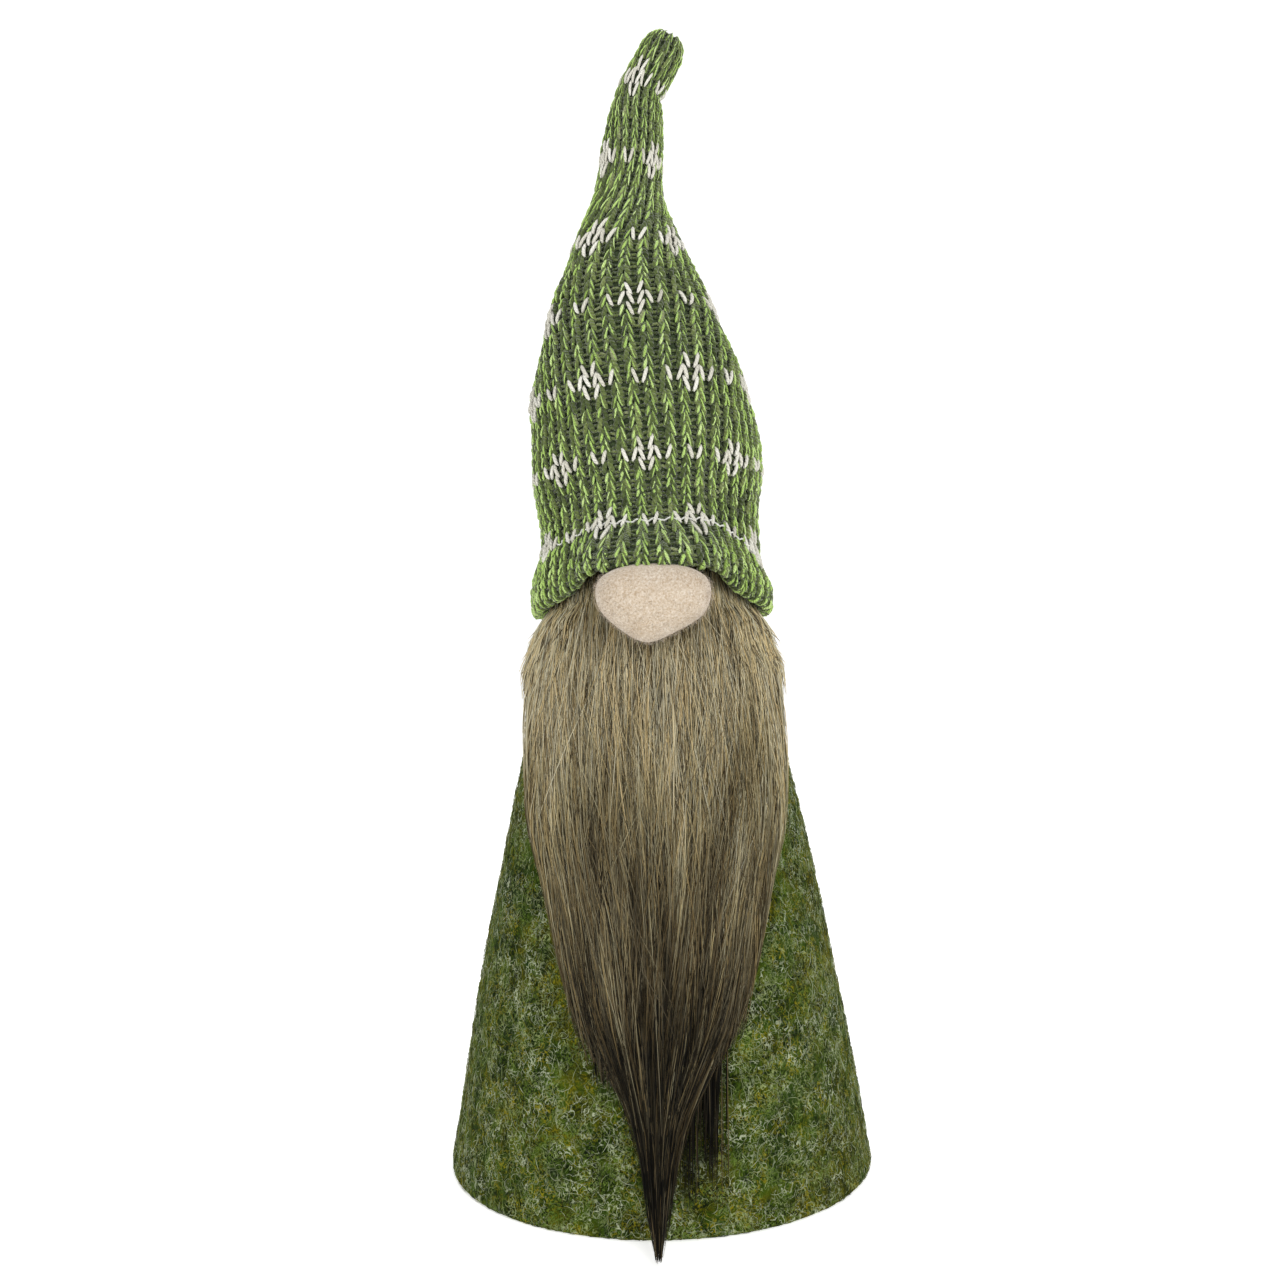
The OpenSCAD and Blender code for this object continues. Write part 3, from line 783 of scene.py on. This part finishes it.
def hairMaterial(name, paleShades, darkShades, castShades):
    # combed acrylic pile: straight, fine and nearly dull, straw hairs among dark ones, each fading down
    # its length; pile this fine is drawn a few times thicker, so that single hairs show
    material, tree = newMaterial(name, {"Roughness": 0.6, "Specular IOR Level": 0.1})
    fade = strandMark(tree, "fade")
    pale, dark = ramp(tree, paleShades, fade), ramp(tree, darkShades, fade)
    colour = addNode(tree, "ShaderNodeMix", {"data_type": "RGBA"},
                     {"Factor": strandMark(tree, "tint"), "A": pale, "B": dark})
    # a share of the hairs is greyer or browner than the rest
    tone = ramp(tree, castShades, strandMark(tree, "cast"))
    toned = addNode(tree, "ShaderNodeMix", {"data_type": "RGBA", "blend_type": "MULTIPLY", "Factor": 1.0},
                    {"A": colour.outputs["Result"], "B": tone})
    return surface(material, toned.outputs["Result"])


beardHair = hairMaterial("combed acrylic pile, straw to black-brown", [
    (0.0, "#1c1b16"), (0.12, "#2b281e"), (0.35, "#6a604a"), (0.6, "#a39877"), (0.8, "#c2b894"),
    (1.0, "#dcd3b4")], [
    (0.0, "#050505"), (0.3, "#0c0a07"), (0.6, "#1e1a15"), (1.0, "#463d2d")], [
    (0.0, "#ffeed2"), (0.3, "#fff6e4"), (0.6, "#ffffff"), (1.0, "#f2f7ff")])


def combedHair(root, rootHeight, length, start, spread, wave, lift, shade, hang, reach=48):
    # paths that run down from their roots, drift in slow waves, and rise through the pile as they go
    count = len(root)
    t = np.linspace(0, 1, beard["rings"])
    height = rootHeight[:, None] - length[:, None] * t
    # hair that hangs straight ends higher than the hair that draws in to the point
    lowest = np.where(hang > 0.08, 26 + 27 * np.abs(root), -7.5)[:, None] * rng.uniform(0.9, 1.15, (count, 1))
    height = np.maximum(height, np.minimum(lowest, rootHeight[:, None] - 8) + 3.5 * rng.random((count, 1)))
    height = height - 1e-3 * np.arange(beard["rings"])
    across = root[:, None] + wave + spread[:, None] * (1 - 0.7 * t)
    limit = 1.04 + 0.05 * rng.random((count, 1))
    across = np.clip(across, -limit, limit)
    widest = softCurve(np.maximum(height, beard["hangFrom"]), beard["halfWidth"])
    across = across * (1 + hang[:, None] * (widest / softCurve(height, beard["halfWidth"]) - 1))
    deep = start[:, None] + lift[:, None] * smooth(0, reach, rootHeight[:, None] - height)
    deep = np.clip(deep, -0.1, 1.15)
    fade = softCurve(height, beard["fade"]) + shade[:, None]
    for place, level, wide, tall, amount in beard["locks"]:
        fade = fade + amount * np.exp(-((across - place) / wide) ** 2 - ((height - level) / tall) ** 2)
    # near the tip the hairs keep a little apart instead of drawing into one cord
    apart = rng.normal(0, 1, (count, 1)) * (1 - smooth(20, 90, height)) * smooth(-8, 10, height)
    deep = deep + 0.12 * rng.normal(0, 1, (count, 1)) * (1 - smooth(30, 80, height))
    return beardSpot(across, height, deep) + stack(0.9 * apart, 0, 0), np.clip(fade, 0, 1)


def beardClumps(clumps):
    # hair in locks: the strands of a lock share a path and draw together towards its end
    count = clumps * beard["strands"]
    t = np.linspace(0, 1, beard["rings"])
    lock = np.repeat(np.arange(clumps), beard["strands"])
    rootAcross = rng.uniform(-0.98, 0.98, clumps)
    turn = np.arcsin(np.clip(rootAcross * 0.85, -1, 1))
    rootTop = hemBottom(turn) + 1.5
    low = beard["rootLow"]
    rootHeight = low + (rootTop - low) * rng.random(clumps) ** 0.8
    length = rng.uniform(*beard["length"], clumps)
    length = np.where(rootHeight < 90, np.minimum(length, rootHeight + 4), length)
    phase, pitch = rng.uniform(0, 7, clumps), rng.uniform(2, 5, clumps)
    swing = rng.uniform(0.004, 0.02, clumps)
    wave = (swing[:, None] * np.sin(phase[:, None] + pitch[:, None] * t))[lock]
    wave = wave + rng.normal(0, 0.006, (count, 1)) * np.sin(4 * t + rng.uniform(0, 6, (count, 1)))
    spread = rng.normal(0, 0.055, count)
    start = 0.02 + 0.12 * rng.random(count)
    wave = wave + (rng.normal(0, 0.06, (clumps, 1))[lock] + rng.normal(0, 0.045, (count, 1))) * t
    lift = (rng.uniform(0.35, 0.75, clumps))[lock] + rng.normal(0, 0.1, count)
    shade = rng.normal(0, 0.11, clumps)[lock] + rng.normal(0, 0.08, count)
    lengths = length[lock] * rng.uniform(0.72, 1.08, count)
    hang = np.where(rng.random(clumps) < 0.5, 0, rng.uniform(0.15, 0.6, clumps))[lock]
    return combedHair(rootAcross[lock], rootHeight[lock] + rng.normal(0, 3, count), lengths, start, spread,
                      wave, lift, shade, hang * rng.uniform(0.8, 1.2, count))


def topCoat(count):
    # single hairs over the locks, shorter and less straight, whose ends show all over the beard
    t = np.linspace(0, 1, beard["rings"])
    root = rng.uniform(-1, 1, count)
    turn = np.arcsin(np.clip(root * 0.85, -1, 1))
    top = hemBottom(turn) + 1
    height = 78 + (top - 78) * rng.random(count) ** 0.7
    length = rng.uniform(14, 56, count)
    aim = rng.normal(0, 0.0038, (count, 1)) * length[:, None]
    aim = aim * np.where(rng.random((count, 1)) < 0.15, 2.2, 1)
    wave = aim * t + rng.normal(0, 0.012, (count, 1)) * np.sin(4 * t + rng.uniform(0, 6, (count, 1)))
    return combedHair(root, height, length, np.full(count, 0.05), np.zeros(count), wave,
                      rng.uniform(0.6, 1.0, count), rng.normal(0, 0.1, count), rng.uniform(0, 0.5, count),
                      reach=20)


def lowWisps(count):
    # thin dark ends that hang straight outside the point of the beard, most of them on one side
    t = np.linspace(0, 1, beard["rings"])
    tufts = 20
    tuft = rng.integers(0, tufts, count)
    right = np.arange(tufts) % 10 < 7
    x = np.where(right, np.linspace(7, 18, tufts), -np.linspace(12, 20, tufts))[tuft]
    x = x + rng.normal(0, 0.8, count)
    high = rng.uniform(56, 76, count)
    low = np.where(right, rng.uniform(8, 42, tufts), rng.uniform(36, 50, tufts))[tuft]
    low = low + (high - low) * 0.6 * rng.random(count) ** 2
    height = high[:, None] + (low - high)[:, None] * t
    drift = -0.12 * x[:, None] * t + rng.normal(0, 1.0, (count, 1)) * t
    x = x[:, None] + drift + rng.normal(0, 0.4, (count, 1)) * np.sin(3 * t)
    r = coneRadius(height) + beard["backing"] - 1.4 + rng.uniform(0, 2.0, (count, 1))
    fade = softCurve(height, beard["fade"]) - 0.12 + rng.normal(0, 0.08, (count, 1))
    return stack(x, -np.sqrt(r ** 2 - x ** 2), height), np.clip(fade, 0, 1)


hairTaper = np.interp(np.linspace(0, 1, beard["rings"]), [0, 0.15, 0.7, 1], [0.7, 1, 0.95, 0.3])


def hairPiece(name, paths, fade, radius, taper):
    # hairs of mixed thickness as one piece, more than half of them pale and the others dark
    count = len(paths)
    outward = unit(paths * [1, 1, 0] + [0, 0, 12])
    tint = np.where(rng.random(count) < 0.58, rng.uniform(0, 0.2, count), rng.uniform(0.35, 1, count))
    # one hair in ten is paler than its neighbours, most of all among the dark ends
    fade = np.clip(fade + 0.34 * (1 - 0.6 * fade) * (rng.random((count, 1)) < 0.1), 0, 1)
    thick = radius * rng.uniform(0.6, 1.2, (count, 1)) * taper
    return makeStrands(name, paths, outward, thick, beard["sides"], beardHair, fade=fade, tint=tint,
                       cast=rng.random(count))


clumpShare, coatShare = beard["clumps"] // beard["pieces"], beard["coat"] // beard["coatPieces"]
hairs = [(*beardClumps(clumpShare), beard["radius"]) for _ in range(beard["pieces"])]
hairs += [(*topCoat(coatShare), beard["coatRadius"]) for _ in range(beard["coatPieces"])]
hairs.append((*lowWisps(beard["wisps"]), beard["coatRadius"]))
for number, (paths, fade, radius) in enumerate(hairs):
    hair = hairPiece(f"beard_hair_{number + 1}", paths, fade, radius, hairTaper)
    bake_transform(hair)
    if number == 0:
        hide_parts("beard_fur")

whisker = {
    "count": 3600, "turn": (0.66, 1.75), "rootLow": 143.0, "length": (14, 40), "lowest": 131.5,
    "radius": 0.19, "rings": 6, "wisps": 1000,
    # how far the hair's outer face stands off the cone at each height
    "stand": [(130, 0.3), (134, 0.6), (139, 1.2), (147, 3.2), (155, 5.0), (161, 4.9), (166, 5.4), (170, 6.0),
              (173, 5.0), (178, 2.6)],
}


def sideWhiskers(count, wisps):
    # hair that wraps the sides above the shoulder line and ends in loose tips; wisps stand off at the edge
    t = np.linspace(0, 1, whisker["rings"])
    side = np.where(rng.random(count) < 0.5, -1, 1)
    turn = rng.uniform(*whisker["turn"], count)
    top = hemBottom(turn) + 1
    root = whisker["rootLow"] + (top - whisker["rootLow"]) * rng.random(count) ** 0.9
    wisp = np.arange(count) < wisps
    length = rng.uniform(*whisker["length"], count) * np.where(wisp, 0.5, 1)
    height = root[:, None] - length[:, None] * t
    lowest = whisker["lowest"] + 7 * rng.random((count, 1)) ** 2
    lowest = lowest + 13 * smooth(1.25, 1.75, turn)[:, None] ** 1.5
    height = np.where(height < lowest, lowest - 0.2 * (lowest - height), height)
    bend = rng.normal(0, 0.045, (count, 1)) * t + rng.normal(0, 0.008, (count, 1)) * np.sin(5 * t)
    deep = 0.05 + rng.uniform(0.5, 1.0, (count, 1)) * smooth(0, 9, root[:, None] - height)
    deep = deep + np.where(wisp, rng.uniform(0.2, 0.9, count), 0)[:, None] * t ** 2
    stand = softCurve(height, whisker["stand"])
    r = coneRadius(height) + stand * (0.45 + 0.55 * deep) + 0.5 * np.maximum(deep - 1, 0)
    angle = side[:, None] * (turn[:, None] + bend)
    fade = 0.93 + rng.normal(0, 0.05, (count, 1)) + 0.1 * smooth(1.1, 1.5, turn[:, None]) + 0 * t
    return stack(r * np.sin(angle), -r * np.cos(angle), height), np.clip(fade, 0, 1)


whiskerPaths, whiskerFade = sideWhiskers(whisker["count"], whisker["wisps"])
whiskerTaper = np.interp(np.linspace(0, 1, whisker["rings"]), [0, 0.2, 0.7, 1], [0.7, 1, 0.9, 0.25])
whiskers = hairPiece("side_whiskers", whiskerPaths, whiskerFade, whisker["radius"], whiskerTaper)
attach(whiskers, "root")
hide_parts("beard_fur_top")
print("beard is combed")

backing = {
    # two sheets of one cloth: their gaps to the felt and where they end
    "thick": 1.3, "columns": 64, "rows": 60,
    "flapGap": 0.95, "flapLow": 27.0, "flapInset": 1.2,
    "collarGap": 0.12, "collarTurn": 1.72, "collarTop": 189.0, "collarLow": 144.0,
}


# knitted backing of the fur: tan, matt and ribbed; the wave node repeats every 2 pi / 20 of its cell,
# so the ribs are 7.5 mm apart, coarser than real so that they show
furBacking = noiseMaterial(
    "knitted polyester fur backing, tan",
    {"Roughness": 0.95, "Specular IOR Level": 0.15, "Sheen Weight": 0.15},
    [(0.0, "#5d5138"), (1.0, "#857857")], 24, 0.6, 0.0002, "ShaderNodeTexWave",
    {"Distortion": 1.5, "Detail": 2.0})


def sheetFaces(rows, columns):
    # front grid, back grid and the four edges between them
    count = rows * columns
    bottom, right = np.arange(columns), np.arange(1, rows) * columns + columns - 1
    top, left = (rows - 1) * columns + np.arange(columns - 2, -1, -1), np.arange(rows - 2, 0, -1) * columns
    rim = np.concatenate([bottom, right, top, left])
    after = np.roll(rim, -1)
    return [gridFaces(rows, columns, around=False),
            gridFaces(rows, columns, count, around=False, inward=True),
            np.stack([rim, rim + count, after + count, after], axis=1)]


def backingSheet(name, limit, low, high, gap):
    # a band over the cone between two heights, each row reaching round as far as limit says
    share = np.linspace(-1, 1, backing["columns"])
    rise = np.linspace(0, 1, backing["rows"])[:, None]
    bottom = low(share)
    height = bottom + (high - bottom) * rise
    turn = share * limit(height)
    faces = []
    for out in (gap + backing["thick"], gap):
        r = coneRadius(height) + out
        faces.append(stack(r * np.sin(turn), -r * np.cos(turn), height))
    width = 2 * coneRadius(height[:, 0]) * limit(height[:, 0])
    made = makePiece(name, np.concatenate([f.reshape(-1, 3) for f in faces]),
                     sheetFaces(backing["rows"], backing["columns"]), furBacking)
    steps = np.diff(faces[0], axis=0)[:, :-1], np.diff(faces[0], axis=1)[:-1]
    cutArea = np.linalg.norm(np.cross(*steps), axis=2).sum()
    return made, width.max(), high - bottom.min(), cutArea


def flapLimit(height):
    # a little less than the beard's half width, as an angle round the cone: arcsine of width over radius
    half = softCurve(height, beard["halfWidth"]) - backing["flapInset"]
    return np.arcsin(np.clip(half / (coneRadius(height) + 2.4), 0, 0.98))


def collarLow(share):
    # level with the fold in front, down to the whiskers' ends at the sides, with a rounded corner behind
    front = foldHeight + 0.6
    drop = front - backing["collarLow"]
    away = np.abs(share)
    return front - drop * smooth(0.66, 0.72, away) + drop * smooth(0.82, 1.02, away) ** 1.5


flap, flapWide, flapLong, flapArea = backingSheet(
    "beard_backing_flap", flapLimit, lambda share: backing["flapLow"] + 0 * share, foldHeight - 0.4,
    backing["flapGap"])
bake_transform(flap)
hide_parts("beard_backing")
collarSheet, collarWide, collarLong, collarArea = backingSheet(
    "beard_backing_collar", lambda height: backing["collarTurn"] + 0 * height, collarLow,
    backing["collarTop"], backing["collarGap"])
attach(collarSheet, "root")
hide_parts("beard_backing_top")
for sheet, wide, long, area in [(flap, flapWide, flapLong, flapArea),
                                (collarSheet, collarWide, collarLong, collarArea)]:
    print(sheet.name, "is cut", round(wide, 1), "by", round(long, 1), "mm, area", round(area), "mm2")

nose = {
    # two balls side by side and a third between and below them, their radii and where they stand
    "side": 6.5, "upper": 10.6, "lower": 9.0, "height": 177.2, "lowHeight": 171.4, "lowSide": -1.6,
    "forward": 43.3, "mix": 1.1,
    "top": 185.2, "topRound": 0.014, "topSoft": 1.2,       # the hem presses the top flat
    "cut": 0.97, "rows": 40, "columns": 72,                # sewn a little small, because it swells
    "voxel": 0.0011, "pressure": 10000.0, "stiffness": 50, "mass": 0.003, "swell": 1.2, "frames": 20,
    "fuzz": 5200, "fuzzRadius": 0.04,
}


def noseShape(rows, columns, scale):
    # a soft mix of three balls: each ball's weight is e to the power of how far it reaches that way,
    # and a softplus curve holds the top down
    rise = np.linspace(-np.pi / 2, np.pi / 2, rows)[:, None]
    turn = np.linspace(0, 2 * np.pi, columns, endpoint=False)
    facing = stack(np.cos(rise) * np.cos(turn), np.cos(rise) * np.sin(turn), np.sin(rise) + 0 * turn)
    balls = np.array([[-nose["side"], 0, nose["height"]], [nose["side"], 0, nose["height"]],
                      [nose["lowSide"], 0, nose["lowHeight"]]])
    sizes = np.array([nose["upper"], nose["upper"], nose["lower"]])
    reach = facing @ (balls - balls.mean(axis=0)).T + sizes
    weight = np.exp(nose["mix"] * (reach - reach.max(axis=-1, keepdims=True)))
    weight /= weight.sum(axis=-1, keepdims=True)
    points = weight @ balls + (weight @ sizes)[..., None] * facing * scale
    points[..., 1] -= nose["forward"]
    top = nose["top"] - nose["topRound"] * points[..., 0] ** 2
    points[..., 2] = top - np.log1p(np.exp(-nose["topSoft"] * (points[..., 2] - top))) / nose["topSoft"]
    return points


def fleeceMaterial():
    # brushed polyester fleece: cream, mottled and matt, with a short bright nap at its edge
    material, tree = newMaterial("brushed polyester fleece, cream", {
        "Roughness": 1.0, "Specular IOR Level": 0.1, "Sheen Weight": 0.35, "Sheen Roughness": 0.45})
    nap = noise(tree, 0.6, {"Detail": 3.0, "Roughness": 0.65})
    slow = calc(tree, "MULTIPLY_ADD", noise(tree, 7, {"Detail": 2.0}), 0.22, -0.11)
    shade = ramp(tree, [(0.3, "#ab967d"), (0.5, "#c4b4a0"), (0.7, "#d8cdbf")], calc(tree, "ADD", nap, slow))
    return surface(material, shade, nap, 0.8, 0.0004)


fleece = fleeceMaterial()
noseGrid = noseShape(nose["rows"] + 2, nose["columns"], nose["cut"])[1:-1]
noseCloth = makePiece("nose_cloth", noseGrid.reshape(-1, 3), capped(nose["rows"], nose["columns"]), fleece)


def evenMesh(piece, size):
    # the same closed shape in even squares, which swell alike
    even = piece.modifiers.new("even", "REMESH")
    even.mode = "VOXEL"
    even.voxel_size = size
    even.use_smooth_shade = True
    shaped = bpy.data.meshes.new_from_object(piece.evaluated_get(bpy.context.evaluated_depsgraph_get()))
    piece.modifiers.remove(even)
    piece.data = shaped
    if not piece.data.materials:
        piece.data.materials.append(fleece)


def inflate(piece):
    # cloth blown up by the stuffing inside, then held to the swell that the seam allows
    before = np.empty(len(piece.data.vertices) * 3)
    piece.data.vertices.foreach_get("co", before)
    cloth = piece.modifiers.new("stuffing", "CLOTH")
    cloth.settings.use_pressure = True
    cloth.settings.uniform_pressure_force = nose["pressure"]
    cloth.settings.effector_weights.gravity = 0
    cloth.settings.tension_stiffness = nose["stiffness"]
    cloth.settings.mass = nose["mass"]
    cloth.point_cache.frame_end = nose["frames"]
    for number in range(1, nose["frames"] + 1):
        bpy.context.scene.frame_set(number)
    shaped = piece.evaluated_get(bpy.context.evaluated_depsgraph_get()).to_mesh()
    after = np.empty(len(shaped.vertices) * 3)
    shaped.vertices.foreach_get("co", after)
    piece.modifiers.remove(cloth)
    bpy.context.scene.frame_set(1)
    move = (after - before).reshape(-1, 3)
    size = np.linalg.norm(move, axis=1, keepdims=True)
    move *= np.minimum(1, nose["swell"] * mm / np.maximum(size, 1e-9))
    piece.data.vertices.foreach_set("co", (before + move.ravel()).astype(np.float32))
    piece.data.update()
    print("stuffed", piece.name, "swells by up to", round(float(size.max()) / mm, 2), "mm before the hold")


evenMesh(noseCloth, nose["voxel"])
inflate(noseCloth)
finer = noseCloth.modifiers.new("finer", "SUBSURF")
finer.levels = finer.render_levels = 1
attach(noseCloth, "root")
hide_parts("nose_fleece")


def napHairs(count):
    # short hairs that leave the cloth along its normals and lean down
    spots = np.empty(len(noseCloth.data.vertices) * 3)
    noseCloth.data.vertices.foreach_get("co", spots)
    normals = np.empty(len(noseCloth.data.vertices) * 3)
    noseCloth.data.vertices.foreach_get("normal", normals)
    pick = rng.integers(0, len(spots) // 3, count)
    spots, normals = spots.reshape(-1, 3)[pick] / mm, normals.reshape(-1, 3)[pick]
    facing = (normals[:, 2] < 0.75) & (normals[:, 1] < 0.5)
    spots, normals = spots[facing], normals[facing]
    spots = spots + rng.normal(0, 0.3, spots.shape)
    lean = unit(normals + rng.normal(0, 0.5, spots.shape) + [0, 0, -0.5])
    t = np.linspace(0, 1, 3)[:, None]
    length = rng.uniform(0.4, 0.95, (len(spots), 1, 1))
    return spots[:, None] + (normals[:, None] * (1 - t) + lean[:, None] * t) * length * t, lean[:, None]


napPaths, napOut = napHairs(nose["fuzz"])
nap = makeStrands("nose_nap", napPaths, napOut[..., [1, 2, 0]], nose["fuzzRadius"] * np.array([1, 0.9, 0.4]),
                  3, fleece)
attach(nap, "root")
print("nose is made")

# one row of slanting stitches closes the felt up the back
coneSeam = {"from": 6.0, "to": 168.0, "count": 26, "reach": 1.5, "rise": 2.6, "radius": 0.36}


def coneStitches():
    # each stitch slants over the seam and dips into the felt at both ends
    t = np.linspace(-1, 1, 9)
    place = np.linspace(coneSeam["from"], coneSeam["to"], coneSeam["count"])[:, None]
    z = place + coneSeam["rise"] * t / 2 + rng.normal(0, 0.25, (coneSeam["count"], 1))
    turn = np.pi + coneSeam["reach"] * t / coneRadius(z)
    r = coneRadius(z) + 0.55 - 1.5 * t ** 4
    return stack(r * np.sin(turn), -r * np.cos(turn), z), stack(0, 1, 0.2)


stitchPaths, stitchOut = coneStitches()
threadGreen = yarnMaterial("spun polyester thread, dark green", [
    (0.0, "#26331a"), (1.0, "#43542c")], 1.0, 0.00008, 0.2)
backStitches = makeStrands("back_seam_thread", stitchPaths, stitchOut, coneSeam["radius"], 8, threadGreen,
                           tint=rng.random(coneSeam["count"]))
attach(backStitches, "root")
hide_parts("back_seam_stitches")

discColumns = 128
feltDiscs = {
    # radius, underside, thickness, rounding of the edge, material, slot and the part that each stands for
    "base_felt_disc": (63.7, 0.05, 1.9, 0.8, darkFelt, "base_felt_slot", "base_felt"),
    "top_felt_disc": (21.3, coneHeight - 2.2, 1.9, 0.8, greenFelt, "felt", "cone_top_felt"),
}


def turned(r, z, columns):
    # a profile of radius and height carried round the upright axis
    turn = np.linspace(0, 2 * np.pi, columns, endpoint=False)
    return stack(r[:, None] * np.cos(turn), r[:, None] * np.sin(turn), z[:, None]).reshape(-1, 3)


def discProfile(radius, low, thick, edge):
    # out along the underside, round the edge and back along the top
    bend = np.linspace(-np.pi / 2, np.pi / 2, 9)
    flatR = np.linspace(0.4, radius - edge, 24)
    r = np.concatenate([flatR, flatR[-1] + edge * np.cos(bend), flatR[::-1]])
    return r, low + thick / 2 + thick / 2 * np.concatenate([0 * flatR - 1, np.sin(bend), 0 * flatR + 1])


for discName, (radius, low, thick, edge, material, slotName, part) in feltDiscs.items():
    r, z = discProfile(radius, low, thick, edge)
    disc = makePiece(discName, turned(r, z, discColumns), capped(len(r), discColumns), material)
    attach(disc, "root")
    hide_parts(part)

# a flat round bag whose edge is gathered in small folds
bag = {"radius": 47.6, "low": 4.25, "height": 15.5, "folds": 22, "foldDepth": 0.4, "rows": 25, "columns": 176}
calico = noiseMaterial(
    # plain cotton: off-white, with a fine uneven weave
    "calico cotton, unbleached", {"Roughness": 0.95, "Sheen Weight": 0.1},
    [(0.3, "#c9bf9f"), (0.7, "#e2dabd")], 0.8, 0.5, 0.0002)
# half an ellipse carried round, drawn in by a sine for each fold
bulge = np.linspace(-np.pi / 2, np.pi / 2, bag["rows"])[:, None]
bagTurn = np.linspace(0, 2 * np.pi, bag["columns"], endpoint=False)
bagR = bag["radius"] - bag["height"] / 2 * (1 - np.cos(bulge)) - bag["foldDepth"] * (
    1 + np.sin(bag["folds"] * bagTurn + 1.5 * np.sin(3 * bagTurn))) * np.cos(bulge) ** 2
bagZ = bag["low"] + bag["height"] / 2 * (1 + np.sin(bulge))
bagGrid = stack(bagR * np.cos(bagTurn), bagR * np.sin(bagTurn), bagZ)
sandBag = makePiece("sand_bag_cloth", bagGrid.reshape(-1, 3), capped(bag["rows"], bag["columns"]), calico)
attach(sandBag, "root")
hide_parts("sand_bag")

# the body's filling: over the sand bag, down round it, out to the felt and up to the top
fillColumns = 160
fillZ = np.linspace(6.0, coneHeight - 3.4, 70)
fillR = coneRadius(fillZ) - cone["thick"] - 0.9
overBag = np.linspace(0.4, 46, 16)
fillProfile = (np.concatenate([overBag, [49.5, 50.5, 51.0], fillR, np.linspace(fillR[-1] - 1, 0.4, 10)]),
               np.concatenate([0 * overBag + 20.9, [18.5, 13.0, 5.0], fillZ, np.full(10, coneHeight - 3.0)]))
bodyFilling = makePiece("body_filling", turned(*fillProfile, fillColumns),
                        capped(len(fillProfile[0]), fillColumns), fibrefill)
# the nose's filling: the same shape, drawn in about its middle to lie inside the cloth
noseFill = noseShape(34, 60, nose["cut"])[1:-1]
noseFill = (noseFill - noseFill.mean(axis=(0, 1))) * 0.87 + noseFill.mean(axis=(0, 1))
noseFilling = makePiece("nose_filling", noseFill.reshape(-1, 3), capped(32, 60), fibrefill)
for filled, part in [(bodyFilling, "body_stuffing"), (noseFilling, "nose_stuffing")]:
    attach(filled, "root")
    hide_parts(part)

hiddenFinishes = {
    # pressed grey board: flat, with short paper fibres
    "pressed greyboard": (
        {"Roughness": 0.9}, [(0.35, "#8f877a"), (0.65, "#a79f90")], 1.5, 0.3, 0.0001,
        "ShaderNodeTexNoise", ["base_board"]),
    # dry sand: separate grains that differ in shade
    "washed quartz sand": (
        {"Roughness": 0.8, "Specular IOR Level": 0.4}, [(0.1, "#8d7b55"), (0.6, "#cdbb8c")], 0.9, 0.9, 0.0004,
        "ShaderNodeTexVoronoi", ["sand_fill"]),
    # hot-melt adhesive: milky, smooth and slightly glossy
    "hot-melt adhesive, milky": (
        {"Roughness": 0.25, "Subsurface Weight": 0.3}, [(0.3, "#d9d4c2"), (0.7, "#ece8da")], 4.0, 0.2, 0.0002,
        "ShaderNodeTexNoise", ["nose_glue", "hat_glue"]),
    # zinc-plated steel wire: grey metal with a dull, streaked coat
    "zinc-plated steel wire": (
        {"Metallic": 1.0, "Roughness": 0.35}, [(0.3, "#8e9296"), (0.7, "#b4b8bb")], 1.2, 0.2, 0.00005,
        "ShaderNodeTexNoise", ["hat_wire", "tail_wire", "tip_wire"]),
    # wound thread: off-white, with the wraps as fine ridges
    "knotted cotton thread, cream": (
        {"Roughness": 0.9, "Sheen Weight": 0.1}, [(0.3, "#cdbfa4"), (0.7, "#e6dcc8")], 0.7, 0.8, 0.0002,
        "ShaderNodeTexNoise", ["nose_knot"]),
}


def finishNode(name, material):
    # a carried-over part keeps its shape and takes this material
    part = frame["nodes"][name]
    if not part.material_slots:
        part.data.materials.append(material)
    for holder in part.material_slots:
        holder.material = material


for finishName, (settings, shades, size, strength, depth, kind, parts) in hiddenFinishes.items():
    finish = noiseMaterial(finishName, settings, shades, size, strength, depth, kind)
    for part in parts:
        finishNode(part, finish)
print("hidden parts are finished")
